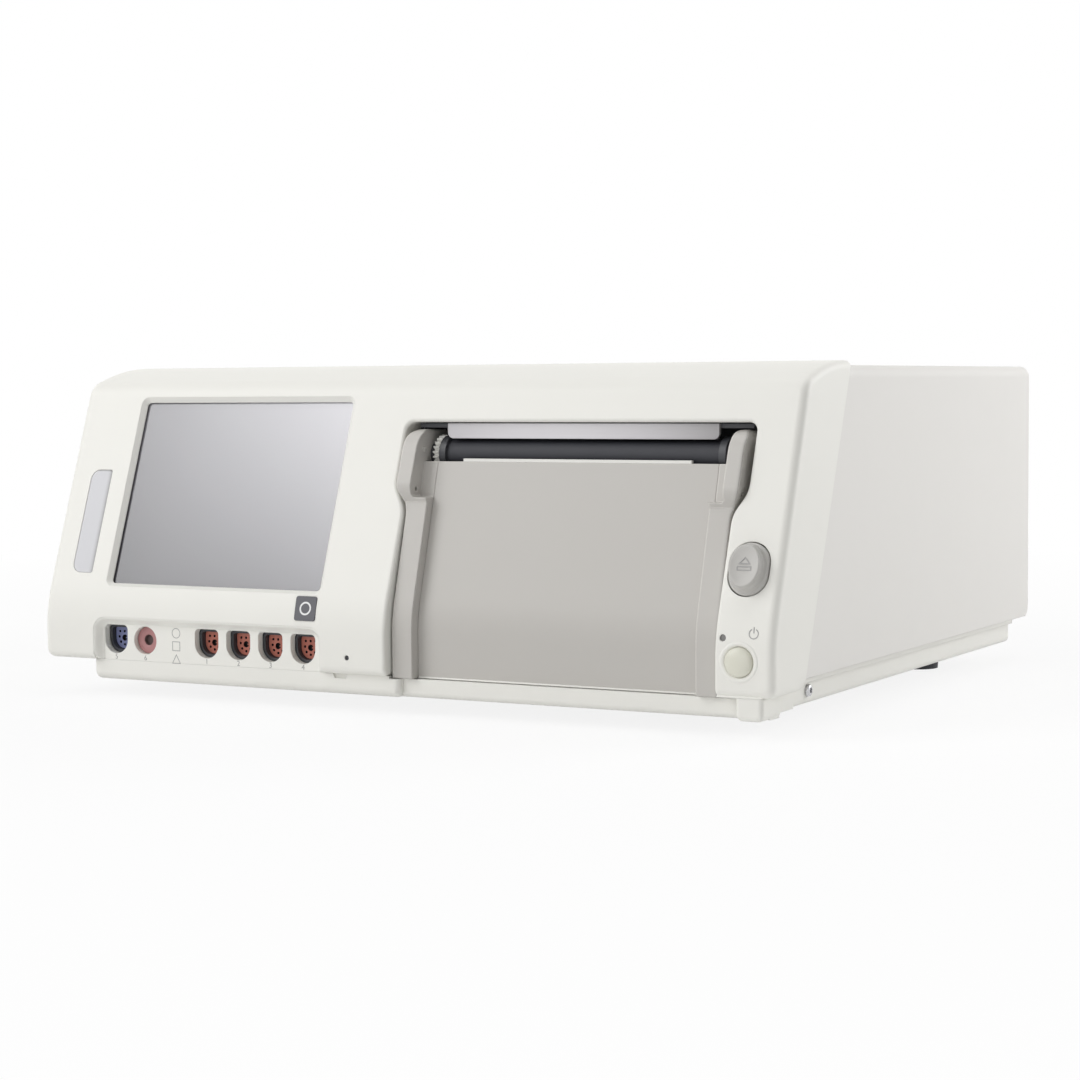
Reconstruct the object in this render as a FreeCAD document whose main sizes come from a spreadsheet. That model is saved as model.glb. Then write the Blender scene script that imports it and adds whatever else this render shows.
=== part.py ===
"""Desktop fetal monitor with a touch display, sensor sockets and a paper drawer.

The frame is +Z up with the front towards -Y. The origin is under the middle of the
whole monitor, on the surface that it stands on. Lengths are millimetres.
"""
import FreeCAD
import Part

import math
import os
import re

import Sketcher

# Driving sizes, one cell of the sheet each
SIZES = {
    # Whole housing
    "body_width": 423.0,
    "body_depth": 392.0,
    "body_height": 173.0,
    "wall": 2.8,
    "gap": 0.3,
    "running_gap": 0.05,
    "overcut": 1.0,
    # Front bezel, drawn from the side
    "face_angle": 19.5,
    "bezel_bottom": 19.0,
    "knee_height": 46.5,
    "knee_radius": 68.0,
    "brow_height": 163.7,
    "brow_radius": 12.0,
    "crown_reach": 29.0,
    "crown_flat": 25.0,
    "crown_radius": 120.0,
    "seam_angle": 21.3,
    "heel_radius": 5.0,
    "heel_corner": 9.0,
    "cheek_radius": 4.0,
    "lip_radius": 1.6,
    "rim_wall": 2.0,
    "rim_depth": 14.0,
    "foot_corner": 3.2,
    # Cover, base and rear
    "cover_inset": 1.0,
    "cover_drop": 2.2,
    "cover_bottom": 24.5,
    "cover_corner": 6.0,
    "cover_rear_radius": 6.0,
    "panel_inset": 3.5,
    "base_half_width": 205.0,
    "base_wall": 2.5,
    "base_step": 21.5,
    "base_rim": 40.0,
    "base_corner": 3.0,
    "base_rear_inset": 16.6,
    "plinth_drop": 2.2,
    "plinth_round": 4.2,
    "plinth_front": 4.6,
    "plinth_left": 182.0,
    "plinth_step": 9.0,
    "sill_setback": 9.0,
    "pillar_width": 13.6,
    "pillar_proud": 0.6,
    "pillar_front": 0.8,
    "pillar_depth": 21.0,
    "pillar_round": 2.4,
    "notch_x": -25.4,
    "notch_wide": 10.4,
    "notch_tall": 2.4,
    "notch_slant": 1.8,
    "notch_deep": 1.2,
    "foot_height": 10.5,
    "foot_diameter": 25.0,
    "foot_spread": 170.0,
    "foot_front_spread": 148.0,
    "foot_front": 105.0,
    "foot_rear": 107.0,
    "foot_draft": 0.8,
    # Display
    "screen_x": -104.7,
    "screen_height": 107.6,
    "screen_wide": 131.8,
    "screen_tall": 100.5,
    "screen_bevel": 2.4,
    "screen_corner": 2.0,
    "glass_border": 3.0,
    "glass_thick": 1.8,
    "gasket_thick": 0.8,
    "gasket_hole": 0.8,
    "lcd_border": 9.0,
    "lcd_thick": 8.0,
    "bracket_border": 14.0,
    "bracket_thick": 1.5,
    # Name plate and badge
    "name_x": -190.3,
    "name_height": 91.5,
    "name_wide": 13.6,
    "name_tall": 57.3,
    "name_deep": 0.8,
    "name_round": 5.5,
    "name_small_round": 1.2,
    "badge_x": -44.0,
    "badge_height": 51.0,
    "badge_side": 12.4,
    "badge_deep": 0.6,
    "badge_seat": 0.4,
    "badge_round": 1.2,
    # Socket panel
    "recess_left": 178.1,
    "recess_right": 34.5,
    "recess_top": 41.8,
    "recess_corner": 7.0,
    "panel_setback": 4.6,
    "panel_thick": 4.0,
    "panel_margin": 2.5,
    "socket_wide": 15.0,
    "socket_tall": 15.1,
    "socket_height": 30.05,
    "socket_pitch": 20.0,
    "socket_first_x": -107.75,
    "socket_corner": 2.5,
    "pulse_x": -166.5,
    "cuff_x": -147.4,
    "cuff_diameter": 17.6,
    "cuff_bore": 6.0,
    "cuff_proud": 1.2,
    "cuff_lip": 1.5,
    "shroud_setback": 2.8,
    "shroud_wall": 1.5,
    "shroud_deep": 16.0,
    "plug_setback": 7.0,
    "board_thick": 1.6,
    # Buttons and lamps
    "eject_x": 194.7,
    "eject_height": 77.4,
    "eject_wide": 20.9,
    "eject_tall": 26.3,
    "eject_skirt": 1.4,
    "eject_flank": 4.0,
    "eject_cap": 1.2,
    "eject_flare": 2.4,
    "eject_root": 4.0,
    "eject_travel": 3.5,
    "stem_diameter": 6.0,
    "stem_length": 9.0,
    "guide_side": 16.0,
    "guide_deep": 11.0,
    "power_x": 194.1,
    "power_height": 35.6,
    "power_diameter": 14.0,
    "power_root": 4.0,
    "power_ring": 17.5,
    "power_ring_deep": 0.7,
    "power_dome": 0.9,
    "power_travel": 1.5,
    "power_stem": 5.0,
    "power_stem_length": 9.0,
    "switch_side": 13.0,
    "switch_deep": 11.0,
    "lamp_x": 185.9,
    "lamp_height": 46.4,
    "lamp_diameter": 3.2,
    "lamp_length": 10.0,
    "lamp_setback": 1.6,
    "eye_x": -18.5,
    "eye_height": 27.5,
    "eye_diameter": 2.6,
    "eye_setback": 0.8,
    # Drawer
    "drawer_x": 92.7,
    "drawer_gap": 1.1,
    "ear_gap": 3.0,
    "opening_top": 144.0,
    "opening_top_half": 96.0,
    "opening_waist_half": 89.3,
    "bulge_height": 112.0,
    "waist_height": 101.0,
    "waist_radius": 14.0,
    "opening_corner": 4.5,
    "foot_drop": 0.6,
    "arm_setback": 6.2,
    "arm_knee": 48.1,
    "arm_angle": 15.7,
    "arm_knee_radius": 60.0,
    "arm_width": 11.2,
    "arm_bottom": 18.0,
    "ear_bottom": 104.5,
    "ear_ledge": 107.0,
    "ear_top": 140.5,
    "ear_width": 8.0,
    "ear_swell": 111.5,
    "ear_swell_round": 8.0,
    "ear_proud": 4.4,
    "ear_brow": 15.0,
    "ear_back": 9.5,
    "ear_corner": 4.5,
    "ear_small_corner": 2.0,
    "ear_hole": 2.2,
    "ear_hole_height": 111.0,
    "ear_hole_setback": 2.2,
    "ear_peg": 2.4,
    "ear_peg_long": 1.0,
    "ear_peg_height": 130.5,
    "ear_peg_setback": 3.2,
    "slab_recess": 6.0,
    "slab_top": 124.5,
    "slab_thick": 2.2,
    "web_thick": 3.0,
    "seat_gap": 0.1,
    "guide_half": 62.5,
    "guide_tall": 1.5,
    "tray_half": 82.0,
    "tray_wall": 2.5,
    "tray_bottom": 20.0,
    "tray_top": 72.0,
    "tray_rear": -45.0,
    "runner_height": 26.0,
    "runner_tall": 2.5,
    "runner_out": 2.7,
    "rail_front": -168.0,
    "rail_thick": 2.2,
    # Recorder
    "platen_y": -150.0,
    "platen_height": 127.8,
    "platen_diameter": 15.2,
    "platen_half": 75.0,
    "collar_diameter": 18.6,
    "collar_length": 3.6,
    "shaft_diameter": 6.0,
    "bush_diameter": 10.0,
    "bush_flange": 13.0,
    "bush_flange_long": 1.5,
    "gear_module": 0.8,
    "gear_teeth": 22,
    "pinion_teeth": 12,
    "gear_wide": 3.2,
    "gear_backlash": 0.16,
    "axle_diameter": 4.0,
    "motor_diameter": 30.0,
    "motor_length": 16.0,
    "head_half": 74.0,
    "head_tall": 16.0,
    "bar_bottom": 135.9,
    "bar_half": 74.5,
    "bar_thick": 2.0,
    "bar_setback": 0.6,
    "bar_corner": 3.0,
    "cheek_half": 96.3,
    "cheek_thick": 2.2,
    "cheek_rear": -75.0,
    "frame_back": -127.0,
    "frame_top": 143.4,
    # Inside and rear fittings
    "board_level": 30.0,
    "board_margin": 12.0,
    "board_front": -65.0,
    "board_rear": 30.0,
    "post_inset": 9.0,
    "inlet_x": 150.0,
    "inlet_height": 52.0,
    "inlet_wide": 28.0,
    "inlet_tall": 20.4,
    "inlet_deep": 30.0,
    "inlet_flange": 50.0,
    "inlet_flange_tall": 26.0,
    "inlet_flange_thick": 3.0,
    "inlet_wall": 2.0,
    "post_x": 96.0,
    "post_height": 46.0,
    "post_diameter": 6.0,
    "post_reach": 11.4,
    "post_collar": 14.0,
    "post_root": 8.0,
    "post_collar_thick": 3.0,
    "speaker_x": -130.0,
    "speaker_height": 95.0,
    "speaker_diameter": 66.0,
    "speaker_rim": 3.0,
    "speaker_magnet": 12.0,
    "grille_slot": 3.0,
    "grille_pitch": 6.5,
    "grille_count": 9,
    "grille_wide": 54.0,
    "slot_x": 0.0,
    "slot_height": 62.0,
    "slot_wide": 104.0,
    "slot_tall": 22.0,
    "slot_pitch": 30.0,
    "slot_plate": 1.6,
    "slot_border": 4.0,
    "slot_gap": 1.0,
    "vent_slot": 3.0,
    "vent_tall": 16.0,
    "vent_pitch": 8.0,
    "vent_count": 14,
    "vent_x": 90.0,
    "vent_height": 140.0,
    "screw_diameter": 6.0,
    "screw_head": 2.0,
    "screw_inset": 14.0,
    "side_screw_y": -141.0,
    "side_screw_height": 17.2,
    "supply_wide": 92.0,
    "supply_deep": 118.0,
    "supply_tall": 42.0,
    "supply_gap": 6.0,
    "pump_diameter": 28.0,
    "pump_length": 52.0,
    "pump_head": 8.0,
    "pump_y": -130.0,
}

Vec = FreeCAD.Vector
X_AXIS = Vec(1, 0, 0)
Y_AXIS = Vec(0, 1, 0)
Z_AXIS = Vec(0, 0, 1)

doc = FreeCAD.newDocument("fetal_monitor")
sheet = doc.addObject("Spreadsheet::Sheet", "Sizes")
for row, (alias, value) in enumerate(SIZES.items(), 1):
    sheet.set(f"A{row}", alias)
    sheet.set(f"B{row}", str(value))
    sheet.setAlias(f"B{row}", alias)
doc.recompute()

ALIAS = re.compile(r"\b(" + "|".join(sorted(SIZES, key=len, reverse=True)) + r")\b")
pieces = []


# Expressions
def bound(text):
    """The expression with every size named as a cell of the sheet."""
    return ALIAS.sub(r"Sizes.\1", str(text))


def number(text):
    """The present value of an expression, for finding edges and for built shapes."""
    value = sheet.evalExpression(bound(text))
    return float(getattr(value, "Value", value))


def bind(thing, prop, text):
    """Tie one property to the sheet."""
    thing.setExpression(prop, bound(text))


# Places that several pieces share
NOSE = "(-body_depth / 2)"
REAR = "(body_depth / 2 - post_reach)"
HALF = "(body_width / 2)"
COVER_HALF = "(body_width / 2 - cover_inset)"
COVER_TOP = "(body_height - cover_drop)"
PANEL_FACE = f"({NOSE} + panel_setback)"
ARM_HALF = "(opening_waist_half - drawer_gap)"
EAR_HALF = "(opening_top_half - ear_gap)"
ARM_INNER = f"({ARM_HALF} - arm_width)"
EAR_INNER = f"({EAR_HALF} - ear_width)"
SLAB_HALF = f"({ARM_INNER} - seat_gap)"
EAR_REAR = "(platen_y + ear_back)"
FLOOR = "(foot_height + base_wall)"
GEAR_INNER = "(platen_half + collar_length + gap)"
MESH_Y = "(platen_y + gear_module * (gear_teeth + pinion_teeth) / 2)"
BAR_FRONT = "(platen_y - platen_diameter / 2 + bar_setback)"
REAR_PANEL = f"({REAR} - panel_inset)"
BASE_REAR = f"({REAR_PANEL} - base_rear_inset)"
PLINTH_TOP = "(bezel_bottom - running_gap)"
SILL_TOP = "(arm_bottom - gap)"


def face(height):
    """Y of the sloping front face at a height."""
    return f"({NOSE} + (({height}) - knee_height) * tan(face_angle))"


def seam(height):
    """Y of the bezel's slanted rear edge at a height."""
    top = f"{face('brow_height')} + crown_reach + crown_flat"
    return f"({top} - (body_height - ({height})) * tan(seam_angle))"


def arm_front(height):
    """Y of the drawer arms' sloping front at a height."""
    return f"({NOSE} + arm_setback + (({height}) - arm_knee) * tan(arm_angle))"


def slab_front(height):
    """Y of the paper slab's sloping front at a height."""
    return f"({arm_front(height)} + slab_recess)"


# Features of a body
def new_body(label):
    """An empty body that becomes one node."""
    body = doc.addObject("PartDesign::Body", label)
    body.Label = label
    pieces.append(body)
    return body


def new_sketch(body, plane, level, tilt=None):
    """A sketch parallel to an origin plane at a level, or leaned back on the sloping front.

    tilt is the lean, then the Y and the height of the point that the sketch is drawn from.
    """
    sketch = body.newObject("Sketcher::SketchObject", "outline")
    role = f"{plane}_Plane"
    support = [part for part in body.Origin.OriginFeatures if part.Role == role][0]
    sketch.AttachmentSupport = [(support, "")]
    sketch.MapMode = "FlatFace"
    if tilt is None:
        sketch.AttachmentOffset = FreeCAD.Placement(Vec(0, 0, 0), FreeCAD.Rotation())
        bind(sketch, "AttachmentOffset.Base.z", level)
        return sketch
    angle, depth, height = tilt
    sketch.AttachmentOffset = FreeCAD.Placement(Vec(0, 0, 0), FreeCAD.Rotation(Vec(-1, 0, 0), 10))
    bind(sketch, "AttachmentOffset.Rotation.Angle", angle)
    bind(sketch, "AttachmentOffset.Base.y", f"{height} + ({level}) * sin({angle})")
    bind(sketch, "AttachmentOffset.Base.z", f"-({depth}) + ({level}) * cos({angle})")
    return sketch


def hold(sketch, kind, geo, spot, text):
    """Tie one coordinate of a sketch point to the sheet."""
    index = sketch.addConstraint(Sketcher.Constraint(kind, -1, 1, geo, spot, number(text)))
    bind(sketch, f"Constraints[{index}]", text)


def draw_outline(sketch, points, rounds=None):
    """A closed outline whose corners, and the arcs that round some of them, are tied to the sheet.

    rounds gives, for each radius, the corners that it rounds.
    """
    spots = [Vec(number(x), number(y), 0) for x, y in points]
    count = len(spots)
    radius_at = {corner: radius for radius, wanted in (rounds or {}).items() for corner in wanted}
    begin, finish, arcs = list(spots), list(spots), {}
    for i, radius in radius_at.items():
        back = (spots[i - 1] - spots[i]).normalize()
        ahead = (spots[(i + 1) % count] - spots[i]).normalize()
        half = back.getAngle(ahead) / 2
        size = number(radius)
        finish[i] = spots[i] + back * (size / math.tan(half))
        begin[i] = spots[i] + ahead * (size / math.tan(half))
        centre = spots[i] + (back + ahead).normalize() * (size / math.sin(half))
        turns_left = back.cross(ahead).z < 0
        first, last = (finish[i], begin[i]) if turns_left else (begin[i], finish[i])
        angles = [math.atan2(spot.y - centre.y, spot.x - centre.x) for spot in (first, last)]
        if angles[1] < angles[0]:
            angles[1] += 2 * math.pi
        arcs[i] = (Part.ArcOfCircle(Part.Circle(centre, Z_AXIS, size), *angles), turns_left)
    for i in range(count):
        sketch.addGeometry(Part.LineSegment(begin[i], finish[(i + 1) % count]), False)
    for i, (x, y) in enumerate(points):
        before = (i - 1) % count
        if i not in arcs:
            sketch.addConstraint(Sketcher.Constraint("Coincident", before, 2, i, 1))
            hold(sketch, "DistanceX", i, 1, x)
            hold(sketch, "DistanceY", i, 1, y)
            continue
        curve, turns_left = arcs[i]
        arc = sketch.addGeometry(curve, False)
        corner = sketch.addGeometry(Part.Point(spots[i]), True)
        hold(sketch, "DistanceX", corner, 1, x)
        hold(sketch, "DistanceY", corner, 1, y)
        enter, leave = (1, 2) if turns_left else (2, 1)
        sketch.addConstraint(Sketcher.Constraint("Tangent", before, 2, arc, enter))
        sketch.addConstraint(Sketcher.Constraint("Tangent", arc, leave, i, 1))
        sketch.addConstraint(Sketcher.Constraint("PointOnObject", corner, 1, before))
        sketch.addConstraint(Sketcher.Constraint("PointOnObject", corner, 1, i))
        index = sketch.addConstraint(Sketcher.Constraint("Radius", arc, curve.Radius))
        bind(sketch, f"Constraints[{index}]", radius_at[i])


def draw_circle(sketch, centre, diameter):
    """A circle tied to the sheet."""
    middle = Vec(number(centre[0]), number(centre[1]), 0)
    sketch.addGeometry(Part.Circle(middle, Z_AXIS, number(diameter) / 2), False)
    hold(sketch, "DistanceX", 0, 3, centre[0])
    hold(sketch, "DistanceY", 0, 3, centre[1])
    index = sketch.addConstraint(Sketcher.Constraint("Diameter", 0, number(diameter)))
    bind(sketch, f"Constraints[{index}]", diameter)


def draw_slot(sketch, centre_x, wide, tall):
    """An upright oval with round ends and straight sides, centred on the sketch's X axis."""
    middle = number(centre_x)
    radius = number(wide) / 2
    half = number(tall) / 2 - radius
    top = Part.Circle(Vec(middle, half, 0), Z_AXIS, radius)
    foot = Part.Circle(Vec(middle, -half, 0), Z_AXIS, radius)
    sketch.addGeometry(Part.ArcOfCircle(top, 0, math.pi), False)
    sketch.addGeometry(Part.ArcOfCircle(foot, math.pi, 2 * math.pi), False)
    left = [Vec(middle - radius, half, 0), Vec(middle - radius, -half, 0)]
    right = [Vec(middle + radius, -half, 0), Vec(middle + radius, half, 0)]
    sketch.addGeometry(Part.LineSegment(*left), False)
    sketch.addGeometry(Part.LineSegment(*right), False)
    for one, end, other, start in ((0, 2, 2, 1), (2, 2, 1, 1), (1, 2, 3, 1), (3, 2, 0, 1)):
        sketch.addConstraint(Sketcher.Constraint("Tangent", one, end, other, start))
    hold(sketch, "DistanceX", 0, 3, centre_x)
    hold(sketch, "DistanceY", 0, 3, f"({tall} - ({wide})) / 2")
    hold(sketch, "DistanceY", 1, 3, f"-({tall} - ({wide})) / 2")
    index = sketch.addConstraint(Sketcher.Constraint("Radius", 0, radius))
    bind(sketch, f"Constraints[{index}]", f"({wide}) / 2")


def span(plane, low, high):
    """Where a sketch lies along its normal, for a solid between two coordinates."""
    if plane == "XZ":
        return f"-({high})", f"({high}) - ({low})"
    return low, f"({high}) - ({low})"


def grow(body, sketch, length, cutting, draft=None):
    """Pad or pocket a sketch along its normal."""
    kind = "PartDesign::Pocket" if cutting else "PartDesign::Pad"
    before = None if body.Tip is None else body.Tip.Shape.Volume
    feature = body.newObject(kind, "cut" if cutting else "pad")
    feature.Profile = sketch
    feature.Reversed = cutting
    bind(feature, "Length", length)
    if draft is not None:
        bind(feature, "TaperAngle", draft)
    doc.recompute()
    if cutting and not feature.Shape.Volume < before - 1e-6:
        raise RuntimeError(f"{body.Label}: a pocket cuts nothing")
    return feature


def round_edges(body, names, radius, kind="Fillet"):
    """A fillet, or a chamfer, on named edges of the body so far."""
    if not names:
        raise RuntimeError(f"{body.Label}: no edges to round by {radius}")
    base = body.Tip
    feature = body.newObject(f"PartDesign::{kind}", "round")
    feature.Base = (base, names)
    bind(feature, "Radius" if kind == "Fillet" else "Size", radius)
    doc.recompute()
    if feature.Shape.isNull() or not feature.Shape.isValid():
        raise RuntimeError(f"{body.Label}: edges can't be rounded by {radius}")
    return feature


def edges_where(body, test):
    """Names of the body's edges whose middle, and both ends, pass a test of a point."""
    names = []
    for index, edge in enumerate(body.Tip.Shape.Edges, 1):
        middle = edge.valueAt((edge.FirstParameter + edge.LastParameter) / 2)
        if all(test(point) for point in [middle] + [vertex.Point for vertex in edge.Vertexes]):
            names.append(f"Edge{index}")
    return names


def shape_polygon(body, plane, points, low, high, rounds=None, tilt=None, cutting=False):
    """Add, or cut, a straight solid with a polygon outline and rounded corners."""
    level, length = (low, f"({high}) - ({low})") if tilt else span(plane, low, high)
    sketch = new_sketch(body, plane, level, tilt)
    draw_outline(sketch, points, rounds)
    grow(body, sketch, length, cutting)
    return body


def shape_circle(body, plane, centre, diameter, low, high, tilt=None, cutting=False):
    """Add, or cut, a round solid."""
    level, length = (low, f"({high}) - ({low})") if tilt else span(plane, low, high)
    sketch = new_sketch(body, plane, level, tilt)
    draw_circle(sketch, centre, diameter)
    grow(body, sketch, length, cutting)
    return body


def shape_slot(body, centre_x, wide, tall, low, high, tilt, cutting=False, draft=None):
    """Add, or cut, an upright oval on the sloping front."""
    sketch = new_sketch(body, "XZ", low, tilt)
    draw_slot(sketch, centre_x, wide, tall)
    grow(body, sketch, f"({high}) - ({low})", cutting, draft)
    return body


def rectangle(x, wide, y, tall):
    """Corners of a rectangle about a centre, from the lower left, anticlockwise."""
    left, right = f"({x}) - ({wide}) / 2", f"({x}) + ({wide}) / 2"
    low, high = f"({y}) - ({tall}) / 2", f"({y}) + ({tall}) / 2"
    return [(left, low), (right, low), (right, high), (left, high)]


def corners(left, right, low, high):
    """Corners of a rectangle between limits, from the lower left, anticlockwise."""
    return [(left, low), (right, low), (right, high), (left, high)]


# Primitives
def block(label, x, y, z):
    """A plain box between three pairs of limits."""
    box = doc.addObject("Part::Box", label)
    for prop, (low, high) in zip(("Length", "Width", "Height"), (x, y, z)):
        bind(box, prop, f"({high}) - ({low})")
    for axis, (low, high) in zip("xyz", (x, y, z)):
        bind(box, f"Placement.Base.{axis}", low)
    return box


def rod(label, axis, centre, diameter, low, high):
    """A cylinder along X, Y or Z. centre gives the other two coordinates in X, Y, Z order."""
    cylinder = doc.addObject("Part::Cylinder", label)
    bind(cylinder, "Radius", f"({diameter}) / 2")
    bind(cylinder, "Height", f"({high}) - ({low})")
    turn = {
        "x": FreeCAD.Rotation(Y_AXIS, 90),
        "y": FreeCAD.Rotation(X_AXIS, -90),
        "z": FreeCAD.Rotation(),
    }[axis]
    cylinder.Placement = FreeCAD.Placement(Vec(0, 0, 0), turn)
    others = [name for name in "xyz" if name != axis]
    bind(cylinder, f"Placement.Base.{axis}", low)
    for name, place in zip(others, centre):
        bind(cylinder, f"Placement.Base.{name}", place)
    return cylinder


def joined(label, parts):
    """One solid from overlapping primitives."""
    fuse = doc.addObject("Part::MultiFuse", label)
    fuse.Shapes = parts
    fuse.Refine = True
    return fuse


def pierced(label, base, tool):
    """A primitive with another cut out of it."""
    cut = doc.addObject("Part::Cut", label)
    cut.Base = base
    cut.Tool = tool
    return cut


def group(label, parts):
    """Separate solids that share one node."""
    compound = doc.addObject("Part::Compound", label)
    compound.Links = parts
    return compound


def node(thing, label):
    """Name a primitive as a sub-part."""
    thing.Label = label
    pieces.append(thing)
    return thing


# Housing
SLOPE = ("face_angle", face("screen_height"), "screen_height")


BADGE_RISE = "(badge_height - knee_height + knee_radius * tan(face_angle / 2))"
BADGE_PLACE = (
    f"asin({BADGE_RISE} / knee_radius)",
    f"{NOSE} + knee_radius - sqrt(knee_radius ^ 2 - {BADGE_RISE} ^ 2)",
    "badge_height",
)


def on_face(height):
    """A leaning sketch plane whose origin is on the sloping face at a height."""
    return "face_angle", face(height), height


def drawer_opening():
    """Front outline of the drawer opening: wide for the ears, narrow for the arms, open at the bottom."""
    points = []
    for sign in (1, -1):
        waist, top = f"drawer_x + {sign} * opening_waist_half", f"drawer_x + {sign} * opening_top_half"
        flare = f"drawer_x + {sign} * (opening_waist_half + foot_corner + rim_wall)"
        half = [
            (flare, "bezel_bottom - wall"),
            (flare, "bezel_bottom - foot_drop"),
            (waist, "bezel_bottom - foot_drop"),
            (waist, "waist_height"),
            (top, "bulge_height"),
            (top, "opening_top"),
        ]
        points += half if sign > 0 else half[::-1]
    rounds = {"foot_corner": [2, 9], "waist_radius": [3, 4, 7, 8], "opening_corner": [5, 6]}
    return points, rounds


def make_front_bezel():
    """One moulded shell: side profile, hollow behind, then its openings."""
    body = new_body("front_bezel")
    crown = f"{face('brow_height')} + crown_reach"
    profile = [
        (NOSE, "bezel_bottom"),
        (NOSE, "knee_height"),
        (face("brow_height"), "brow_height"),
        (crown, "body_height"),
        (seam("body_height"), "body_height"),
        (seam("bezel_bottom"), "bezel_bottom"),
    ]
    rounds = {"knee_radius": [1], "brow_radius": [2], "crown_radius": [3]}
    shape_polygon(body, "YZ", profile, f"-{HALF}", HALF, rounds)
    half, nose, low, high = (number(text) for text in (HALF, NOSE, "bezel_bottom", "body_height"))
    top, foot = number(seam("body_height")), number(seam("bezel_bottom"))
    heels = edges_where(body, lambda point: abs(abs(point.x) - half) < 1e-4 and abs(point.z - low) < 1e-4)
    round_edges(body, heels, "heel_radius")

    def on_seam(point):
        return abs(point.y - (foot + (point.z - low) * (top - foot) / (high - low))) < 1e-3

    def on_cheek(point):
        return abs(abs(point.x) - half) < 1e-4 and point.z > number("bezel_bottom + heel_radius") - 1e-4

    def on_chin(point):
        return abs(point.y - nose) < 1e-4 and point.z < number("bezel_bottom + heel_radius") + 1e-4

    spared = edges_where(body, on_seam)
    spared += edges_where(body, lambda point: abs(point.z - number("bezel_bottom + heel_radius")) < 1e-4)
    front = edges_where(body, on_cheek) + edges_where(body, on_chin)
    round_edges(body, sorted(set(front) - set(spared)), "cheek_radius")
    # Rounded corner where the seam meets the bottom
    reach = "heel_corner * 3"
    outside = [
        (f"{seam('bezel_bottom')} - {reach}", "bezel_bottom"),
        (seam("bezel_bottom"), "bezel_bottom"),
        (seam(f"bezel_bottom + {reach}"), f"bezel_bottom + {reach}"),
        (f"{seam('bezel_bottom')} + {reach}", f"bezel_bottom + {reach}"),
        (f"{seam('bezel_bottom')} + {reach}", "bezel_bottom - wall"),
        (f"{seam('bezel_bottom')} - {reach}", "bezel_bottom - wall"),
    ]
    wide = f"({HALF} + overcut)"
    shape_polygon(body, "YZ", outside, f"-{wide}", wide, {"heel_corner": [1]}, cutting=True)
    hollow_bezel(body)
    # Display window with a bevelled edge
    window = rectangle("screen_x", "screen_wide", "0", "screen_tall")
    shape_polygon(body, "XZ", window, "-wall * 2", "wall", {"screen_corner": [0, 1, 2, 3]}, SLOPE, True)
    left = number("screen_x - screen_wide / 2 - 0.01")
    right = number("screen_x + screen_wide / 2 + 0.01")
    rise_half = number("screen_tall / 2 * cos(face_angle) + 0.01")
    middle = number("screen_height")

    def on_window_front(point):
        ahead = point.y - number(face(str(point.z)))
        return left < point.x < right and abs(point.z - middle) < rise_half and abs(ahead) < 1e-3

    round_edges(body, edges_where(body, on_window_front), "screen_bevel", "Chamfer")
    # Opening for the drawer, open at the bottom
    opening, rounds = drawer_opening()
    behind = f"{seam('body_height')} + rim_depth"
    shape_polygon(body, "XZ", opening, f"{NOSE} - overcut", behind, rounds, cutting=True)
    soften_opening(body)
    # Recess for the sockets, open at the bottom
    recess = corners("-recess_left", "-recess_right", "bezel_bottom - wall", "recess_top")
    shape_polygon(body, "XZ", recess, f"{NOSE} - overcut", f"{NOSE} + wall * 3", {"recess_corner": [2, 3]}, cutting=True)
    # Holes for the buttons and lamps
    shape_slot(body, "eject_x", "eject_wide", "eject_tall", "-wall * 2", "wall", on_face("eject_height"), True)
    power = ("power_x", "power_height")
    shape_circle(body, "XZ", power, "power_ring", f"{NOSE} - overcut", f"{NOSE} + power_ring_deep", cutting=True)
    shape_circle(body, "XZ", power, "power_diameter + gap * 2", f"{NOSE} - overcut", f"{NOSE} + wall * 2", cutting=True)
    lamp, eye = ("lamp_x", "lamp_height"), ("eye_x", "eye_height")
    shape_circle(body, "XZ", lamp, "lamp_diameter", f"{NOSE} - overcut", f"{NOSE} + wall * 3", cutting=True)
    shape_circle(body, "XZ", eye, "eye_diameter", f"{NOSE} - overcut", f"{NOSE} + wall * 2", cutting=True)
    # Shallow seats for the name plate and the badge
    name = rectangle("name_x", "name_wide", "0", "name_tall")
    name_rounds = {"name_round": [0, 3], "name_small_round": [1, 2]}
    shape_polygon(body, "XZ", name, "-name_deep", "wall", name_rounds, on_face("name_height"), True)
    badge = rectangle("badge_x", "badge_side + gap", "0", "badge_side + gap")
    shape_polygon(body, "XZ", badge, "-badge_seat", "wall", {"badge_round": [0, 1, 2, 3]}, BADGE_PLACE, True)
    return body


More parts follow.
